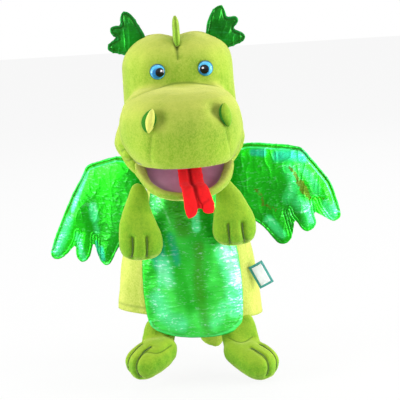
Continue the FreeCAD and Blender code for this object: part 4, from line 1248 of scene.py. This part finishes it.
# Painted shade, painted highlights and glints, and olive and teal patches, laid on as strokes.
paint(panel, (
    ("shade", 1.1, 8.0, ((-38, 128), (-35, 106), (-30, 78))),
    ("glint", 0.5, 1.6, ((-27, 124), (-22, 113), (-17, 100))),
    ("olive", 1.0, 10.0, ((-13, 124), (-10, 110), (-5, 92))),
    ("mint_highlight", 1.0, 4.5, ((2, 122), (8, 110), (9, 94))),
    ("shade", 1.0, 7.0, ((18, 112), (19, 86))), ("teal", 0.9, 9.0, ((-33, 82), (-29, 60))),
    ("teal", 0.7, 6.0, ((-17, 88), (-13, 60))),
    ("mint_highlight", 0.9, 10.0, ((-26, 60), (-24, 40))), ("mint_highlight", 0.8, 12.0, ((-32, 22), (-26, 4), (-12, -4))),
    ("glint", 0.55, 6.0, ((-28, 56), (-22, 36))), ("mint_highlight", 1.0, 11.0, ((36, 66), (43, 40), (44, 6))),
    ("glint", 0.9, 6.5, ((36, 70), (44, 48), (47, 34))), ("mint_highlight", 0.7, 9.0, ((32, 10), (22, -8))),
    ("olive", 0.7, 9.0, ((11, 74), (9, 30), (14, -16))), ("shade", 0.6, 12.0, ((9, 78), (6, 40)))))
settle(thicken(panel, 0.9, 1))
dress(panel, belly_foil, "sleeve", ("belly_panel",))
PANEL_FLAT = (0.106, 0.154)
full = PANEL_FLAT[0] * PANEL_FLAT[1]
print("belly panel before its folds, cm2:", round(area * 1e4, 1), "of", round(full * 1e4, 1))
tell(panel)

# %% [markdown]
# ## Arms
# Each arm is a flat stuffed mitten: narrow at the shoulder under the jaw, wide and thick at the paw, with two
# sewn lines that part three toes. The lines are carved, and a dark thread lies in each.

# %% Arms
ARM_Y = -36.5
ARM = {  # height, middle, half width, half depth
    "left": ((144, -48, 2.5, 2.2), (142, -48, 5.6, 4.2), (138, -47.6, 8.2, 6), (133, -47.8, 10.2, 7.6),
             (126, -49.4, 12, 9.5), (117, -50.2, 14.6, 11), (108, -49.6, 17.6, 12.6), (98, -48.8, 20.4, 14.2),
             (91, -48.6, 21.6, 15.2), (83, -48, 21.4, 15.4), (76, -47.6, 19, 14), (71, -47.8, 14, 10.6),
             (68.6, -48, 8, 6), (67.8, -48, 3, 2.5)),
    "right": ((145.5, 37.6, 3, 2.2), (144, 37.8, 6.4, 4), (140.5, 38.4, 8.4, 6), (136, 40, 10, 7.5),
              (129, 42.4, 12.6, 9.5), (121.5, 44.6, 15.4, 11.4), (111, 45.6, 19.4, 13.2),
              (101, 46, 21.8, 14.8), (91, 45.8, 22, 15.4), (85, 45.8, 20, 14.4), (80, 46.2, 15.4, 11.2),
              (77.2, 46.5, 9, 7), (76, 46.5, 3, 2.5)),
}
PAW = {  # how far out the paw's middle lies, and how far it is raised
    "left": (47.5, 0.0), "right": (45.0, 7.5),
}
TOES = ((-6.8, -5.6), (7.4, 9.4))


def sew_toes(piece, lines, towards, depth, width):
    """Carves each line and lays its thread in it."""
    threads = []
    for points in lines:
        line = onto(piece, even_line(points, 1.2), towards)
        carve(piece, line, depth, width, 0.12)
        threads.append(line)
    rows = [tube([p + Vector(towards).normalized() * depth * 0.55 for p in line], 0.5, 6) for line in threads]
    return set_down(join(*rows), piece.name + "_threads")


for side, sign in SIDES.items():
    centre, lift = sign * PAW[side][0], PAW[side][1]
    rings = [oval((x, ARM_Y - deep, z), wide, deep) for z, x, wide, deep in ARM[side]]
    root = loft([oval((centre - sign * 1.5, y, 113), 8, 8, (0, -1, 0)) for y in (-30, -44)], 28, 2)
    arm = set_down(join(loft(rings, 40, 2.25), root), "arm_velour_" + side)
    melt(arm, 1.8)
    rumple(arm, 22, 1.3, seed=3.0 * sign)
    rumple(arm, 9, 0.4, seed=6.0 + sign)
    lines = []
    for top, foot in TOES:
        high, low = centre + sign * 1.2 + sign * top, centre + sign * 1.2 + sign * foot
        base = 68 + lift
        lines.append([(high, 0, base + 27), (high + (low - high) * 0.2, 0, base + 16), (low, 0, base + 5.5)])
    threads = sew_toes(arm, lines, (0, 1, 0), 2.6, 2.6)
    for toe in (-12.5, 1.2, 15):
        swell(arm, (centre + sign * toe, -66, 76 + lift), (7, 16, 10), 1.0)
    dress(arm, paw_velour, side + "_arm", ("arm_" + side, "arm_stuffing_" + side))
    dress(threads, thread_green, side + "_arm", ("paw_threads_" + side,))
    tell(arm)

# %% [markdown]
# ## Legs and feet
# A leg is a soft tube sewn inside the hem, bent forwards into a big stuffed foot that turns outwards. The
# foot is a second loft, laid along its own length from heel to toe, and the two are melted into one skin.
# Toe lines are sewn over the front of the foot.

# %% Legs
LEG = (  # height, offset out, y, half width, half depth
    (-3, -4, -21.3, 11, 4.5), (-6.5, -4, -21.3, 14, 6), (-14, -3, -21.5, 15.6, 8.4),
    (-24, -1.5, -23.5, 16.5, 11.5), (-34, 0.5, -27, 16.5, 13.5), (-44, 2, -31, 15, 13), (-50, 3, -33, 11, 9),
)
FOOT = (  # along from heel to toe, half width, half height
    (-27, 6, 5), (-24, 12.5, 10), (-17, 17.5, 14), (-6, 20, 16), (6, 21, 16.8), (16, 20, 16),
    (24, 16.4, 13.6), (29, 10, 8.6), (31, 3.5, 3),
)
FOOT_SET = {  # middle, degrees turned out, dip of the toe, how far drawn up, size, (leg's place, extra width)
    "left": ((-43.2, -40, -35.4), 52, -0.32, 8.0, 1.0, (-37.0, 0.6)),
    "right": ((56.6, -40, -43.6), 46, -0.36, 1.5, 1.05, (49.2, 2.8)),
}
for side, sign in SIDES.items():
    middle, turned, dip, drawn, size, (out, stout) = FOOT_SET[side]
    middle, turned = Vector(middle), math.radians(turned)
    leg_rings = [oval((out + sign * away, y, z * (1 - drawn / 60)), wide + stout, deep)
                 for z, away, y, wide, deep in LEG]
    heading = Vector((sign * math.sin(turned), -math.cos(turned), dip)).normalized()
    flat = heading.cross(UP).normalized()
    foot_rings = [oval(middle + heading * along * size, wide * size, tall, heading, flat)
                  for along, wide, tall in FOOT]
    leg = set_down(join(loft(leg_rings, 32, 2.2), loft(foot_rings, 36, 2.2)), "leg_velour_" + side)
    melt(leg, 2.0, 3)
    points = points_of(leg)
    points[:, 2] = np.maximum(points[:, 2], FLOOR_HEIGHT / MM + 0.3)
    move_to(leg, points)
    rumple(leg, 20, 1.3, seed=2.0 + sign)
    rumple(leg, 8, 0.4, seed=8.0 + sign)
    ankle = even_line([(out - sign * 14, 0, -24), (out, 0, -27), (out + sign * 12, 0, -25)], 2)
    carve(leg, onto(leg, ankle, (0, 1, 0)), 1.2, 3.0, 0.2)
    rows = []
    for aside in (-7.5, 7.0):
        base = middle + flat * aside
        above = [base + heading * along + UP * 60 for along in (8, 18, 30)]
        over = onto(leg, even_line(above, 1.2), (0, 0, -1))
        ahead = over[-1] + heading * 40
        around = onto(leg, even_line([ahead, ahead - UP * 10, ahead - UP * 18], 1.5), -heading)
        line = even_line([over[0], over[len(over) // 2], over[-1], around[len(around) // 2], around[-1]], 1.2)
        carve(leg, line, 2.4, 2.6, 0.14)
        rows.append(tube([p - (p - middle).normalized() * 1.4 for p in line], 0.5, 6))
    threads = set_down(join(*rows), "foot_threads_sewn_" + side)
    dress(leg, paw_velour, side + "_leg", ("leg_" + side, "leg_stuffing_" + side))
    dress(threads, thread_green, side + "_leg", ("foot_threads_" + side,))
    tell(leg)

# %% [markdown]
# ## Wings
# A wing is a big quilted shape with three scalloped fingers, hinged by its sewn root behind the shoulder.
# Its leading edge, along the top and down the outside, is stitched a little way in, darkened there with
# painted shade, and with painted highlights along the edge and just inside the stitching. The outline is
# drawn flat, in millimetres out from the root, quilted, pushed into gentle waves that both faces share, and
# swept back to its place at rest. Painted shade, painted highlights and glints, teal patches and the rubbed
# spots are laid on as broad strokes, each with an attribute, a strength, a half width and a line drawn like
# the outline.

# %% Wings
DRAWN_SPAN = 122.0
WING = {  # out from the root, height; the leading edge first, then the scallops back to the root
    "left": (((-2, 110), (-2, 136), (6, 154), (25, 158.5), (36, 156), (48.3, 152.6), (58, 149.4),
              (63.6, 146.6), (67.2, 141.8), (73.9, 131), (81, 119.5), (88.1, 106.5), (95.3, 93),
              (102.6, 79.4), (109.7, 65.7), (114.6, 54.3)),
             ((116.4, 47.4), (115, 43), (110.7, 41), (103.2, 42.7), (96.5, 48.5), (89.7, 56.6), (83.6, 65.8),
              (77.6, 75.4), (80.8, 65), (84.4, 53.5), (84.3, 46.8), (81.1, 41.6), (76.3, 40.8), (69.8, 45.6),
              (64.6, 57), (58.8, 73), (56.6, 61), (57, 53), (56.5, 44.9), (52.1, 39.8), (47.4, 38.4),
              (42.2, 42.4), (36.8, 51.5), (29, 64), (13, 82), (-1, 92))),
    "right": (((3, 112), (6, 140), (14, 162), (26.8, 165), (37.7, 164.2), (48.7, 162.4), (59.7, 160.3),
               (70.7, 158.1), (81.7, 155.5), (88.8, 153), (93, 149), (98, 142.4), (103.3, 135.9),
               (108.7, 128.8), (114.1, 121.7), (119.2, 114), (123.4, 103.8), (126.6, 93.6), (129.6, 83.3)),
              ((130.6, 76.5), (129.4, 72.2), (125.7, 69.9), (121.1, 69.3), (117.2, 71.8), (112.3, 78.4),
               (107.4, 85.6), (99.2, 98), (98.2, 87.5), (99.3, 78.9), (101, 70.2), (98, 65.8), (93.3, 62.9),
               (87.8, 63), (83.4, 66.8), (79.4, 73.9), (74.5, 80.8), (69.6, 89.5), (69.4, 77.5), (71.2, 68.8),
               (72.7, 58.8), (70.3, 54.7), (65.6, 51.8), (60.2, 51.8), (55.9, 55.5), (49.5, 63.2),
               (42.1, 72.2), (34, 79.4), (16, 88), (3, 93))),
}
# Painted shade in the shade strokes, painted highlights and glints in the mint and glint strokes, teal
# patches, and rubbed wear in the worn strokes.
STROKES = {
    "left": (("mint_highlight", 1.0, 4.0, ((66, 137), (75, 117), (83, 99))),
             ("mint_highlight", 1.0, 7.0, ((88, 88), (98, 68), (108, 52))),
             ("mint_highlight", 1.0, 5.5, ((59, 103), (58, 90))), ("mint_highlight", 0.6, 5.0, ((58, 88), (57, 76))),
             ("mint_highlight", 0.8, 5.0, ((80, 70), (76, 46))),
             ("teal", 0.9, 4.0, ((53, 56), (52, 46))), ("teal", 0.7, 2.5, ((58.5, 64), (57.5, 48))),
             ("shade", 1.0, 17.0, ((12, 140), (22, 110), (34, 70))),
             ("shade", 0.8, 9.0, ((44, 84), (46, 58))),
             ("glint", 0.7, 2.6, ((57, 102), (56, 99)))),
    "right": (("teal", 1.0, 5.0, ((34, 155), (44, 153))),
              ("teal", 1.0, 8.0, ((62, 148), (74, 147), (90, 143))),
              ("mint_highlight", 0.65, 11.0, ((72, 134), (77, 118), (72, 102))),
              ("mint_highlight", 0.7, 11.0, ((80, 96), (92, 84), (94, 72))),
              ("mint_highlight", 0.9, 6.0, ((48, 80), (62, 62))), ("mint_highlight", 0.8, 6.0, ((112, 90), (122, 76))),
              ("mint_highlight", 0.6, 7.0, ((86, 132), (98, 118), (104, 104))),
              ("shade", 1.0, 16.0, ((10, 150), (18, 120), (28, 92))),
              ("shade", 0.8, 9.0, ((36, 104), (54, 92))),
              ("worn", 0.9, 1.8, ((73, 134), (77, 129))), ("worn", 0.9, 2.6, ((78, 127), (81, 121))),
              ("worn", 1.2, 4.6, ((84, 116), (89, 108))),
              ("worn", 1.0, 2.8, ((89, 107), (95, 98))), ("worn", 0.5, 4.0, ((35, 116), (41, 105), (42, 96))),
              ("worn", 0.5, 3.4, ((46, 95), (56, 90))), ("worn", 0.5, 2.6, ((100, 97), (110, 96))),
              ("glint", 0.6, 2.0, ((48, 80), (53, 79))),
              ("glint", 0.7, 1.3, ((84, 84), (92, 86), (96, 91))),
              ("glint", 0.4, 3.4, ((72, 117), (73, 110)))),
}
WING_PAD = 6.0
STITCH_IN = 3.2
for side, sign in SIDES.items():
    hinge = JOINT_AT["wing_sweep_" + side]
    hinge_x = abs(hinge.x)
    low, high = (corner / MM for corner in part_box("wing_front_" + side))
    reach = max(abs(low.x), abs(high.x)) - hinge_x
    sweep = math.atan2(high.y - hinge.y, reach)
    share = math.hypot(reach, high.y - hinge.y) / DRAWN_SPAN
    leading, scallops = ([(hinge_x + out * share, z) for out, z in part] for part in WING[side])
    bm, edge = outline_form(leading + scallops, WING_PAD, 0)
    wing = set_down(bm, "wing_foil_" + side)
    melt(wing, 1.35, 1)
    quilt(wing, edge, 0, half=3.2, roll=1.8, stitch_in=2.4, strength=0.12)
    points = points_of(wing)
    stitched = distance_to(points * np.array((1, 0, 1)), even_line([(x, 0, z) for x, z in leading[2:]], 2))
    points[:, 1] *= 1 - 0.6 * bell(stitched - STITCH_IN, 1.1)
    move_to(wing, points)
    # A dark line at the stitching, with painted shade in the channel, and painted highlights on the piping
    # either side.
    mark(wing, "seam_and_shade", 1.2 * bell(stitched - STITCH_IN, 0.7))
    mark(wing, "mint_highlight", 0.9 * bell(stitched - 5.0, 1.0))
    mark(wing, "mint_highlight", 0.7 * bell(stitched, 1.0))
    paint(wing, STROKES[side], hinge_x, share)
    wave = np.array([noise.noise(Vector((x / 42, z / 60, 3.7 * sign))) for x, y, z in points])
    out = (points[:, 0] - hinge_x) / DRAWN_SPAN
    points[:, 1] += 5 * wave * np.clip(out * 2, 0, 1) + 6 * out ** 2
    move_to(wing, points)
    rumple(wing, 20, 1.0, (1, 1, 0.5), 6.6 * sign)
    rumple(wing, 8, 0.35, (1, 1, 0.5), 1.7 * sign, True)
    root = Matrix.Translation((hinge_x * MM, hinge.y * MM, 0))
    wing.data.transform(root @ Matrix.Rotation(sweep, 4, "Z") @ Matrix.Translation((-hinge_x * MM, 0, 0)))
    if sign < 0:
        mirror(wing)
    nodes = ["wing_front_" + side, "wing_wadding_" + side, "wing_back_" + side]
    dress(wing, wing_foil, side + "_wing", nodes)
    print(wing.name, "drawn at", round(share, 3), "swept back", round(math.degrees(sweep), 1), "degrees")

# %% [markdown]
# ## Tail
# The tail is a stuffed velour tongue sewn across the sleeve's back by a round root, curving to one side.

# %% Tail
TAIL = (  # height, x, half width, half depth
    (44, 0, 12, 5.5), (38, 0, 15.5, 7.6), (26, 0.5, 16, 8.6), (10, 4, 15.6, 9.4), (-8, 10, 14, 9.2),
    (-24, 16, 13.6, 8.6), (-36, 20, 13.4, 8), (-46, 22.5, 12.6, 7), (-51, 24, 9.6, 5.4), (-53.4, 25, 6, 3.6),
    (-54.4, 25.5, 2, 1.6),
)
hinge = JOINT_AT["tail_swing"]
back = hinge.y - 7
rings = [oval((x, back + deep, z), wide, deep) for z, x, wide, deep in TAIL]
root = loft([oval((x, hinge.y, hinge.z), 6.6, 6.6, ACROSS, UP) for x in (-14, 14)], 28, 2)
tail = set_down(join(loft(rings, 36, 2.2), root), "tail_velour")
melt(tail, 1.8)
rumple(tail, 18, 1.2, seed=5.0)
rumple(tail, 8, 0.4, seed=1.5)
spine = onto(tail, even_line([(0, 200, 40), (2, 200, 15), (10, 200, -10), (20, 200, -36)], 2), (0, -1, 0))
carve(tail, spine, 1.3, 2.6, 0.3)
dress(tail, green_velour, "tail_swing", ("tail", "tail_stuffing"))

# %% [markdown]
# ## Side label
# A folded ribbon is sewn into the side seam. Its face is left bare: a white field inside a teal border.

# %% Label
low, high = (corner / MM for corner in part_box("side_label"))
middle = (low + high) / 2
label_at = Vector((73.2, middle.y - 2.0, 37.5))
LABEL = (("label_ribbon", (16.0, 26.0), 0.0, ribbon_edge), ("label_field", (11.0, 21.0), 0.35, ribbon))
for name, size, proud, finish in LABEL:
    bm = bmesh.new()
    bmesh.ops.create_grid(bm, x_segments=12, y_segments=18, size=0.5)
    bmesh.ops.scale(bm, vec=(size[0], size[1], 1), verts=bm.verts)
    bmesh.ops.rotate(bm, verts=bm.verts, cent=(0, 0, 0), matrix=Matrix.Rotation(math.radians(90), 3, "X"))
    for vert in bm.verts:
        vert.co.y += 0.012 * vert.co.x ** 2 - 0.03 * vert.co.x
    bmesh.ops.rotate(bm, verts=bm.verts, cent=(0, 0, 0), matrix=Matrix.Rotation(math.radians(-26), 3, "Y"))
    bmesh.ops.translate(bm, verts=bm.verts, vec=label_at - Vector((0, proud, 0)))
    part = set_down(bm, name)
    settle(thicken(part, 0.6, 0))
    dress(part, finish, "sleeve", ("side_label",) if not proud else ())

# %% [markdown]
# ## Inside the head
# The hand pushes the head from inside. A lined room above the neck takes the palm, a flat pocket over the
# mouth's upper plate takes the fingers, and a smaller one under the lower plate takes the thumb.

# %% Hand room and pockets
ROOM = ((128, 33), (150, 36), (175, 37), (190, 35), (199, 28), (204, 16), (205, 4))  # height, half width
room = set_down(loft([oval((0, NECK_Y, z), wide, wide - 3) for z, wide in ROOM], 36, 2.2, False), "palm_room")
settle(thicken(room, KNIT_THICKNESS))
dress(room, lining_knit, "head")
slant = math.radians(JAW_SLOPE)
ahead = {"head": Vector((0, -1, 0)), "jaw": Vector((0, -math.cos(slant), -math.sin(slant)))}
POCKET = (  # along, share of the size
    (-0.86, 0.97), (0, 0.97), (0.5, 0.92), (0.76, 0.8), (0.9, 0.55), (0.96, 0.2),
)
for node, body in (("finger_pocket", "head"), ("thumb_pocket", "jaw")):
    low, high = (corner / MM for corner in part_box(node))
    middle = (low + high) / 2
    half = (high - low) / 2
    slope = ahead[body]
    tall = half.z if body == "head" else 8.5
    long = half.y / abs(slope.y)
    rings = [oval(middle + slope * long * along, half.x * share, tall * share, slope)
             for along, share in POCKET]
    pocket = settle(thicken(set_down(loft(rings, 30, 2.2, False), node + "_cloth"), KNIT_THICKNESS))
    dress(pocket, lining_knit, body, (node,))
for side in SIDES:
    disc = frame["nodes"]["eye_washer_" + side]
    disc.data.materials.clear()
    disc.data.materials.append(washer_white.material)
shown = [name for name, node in frame["nodes"].items() if not node.hide_render]
print("construction nodes still shown:", shown)
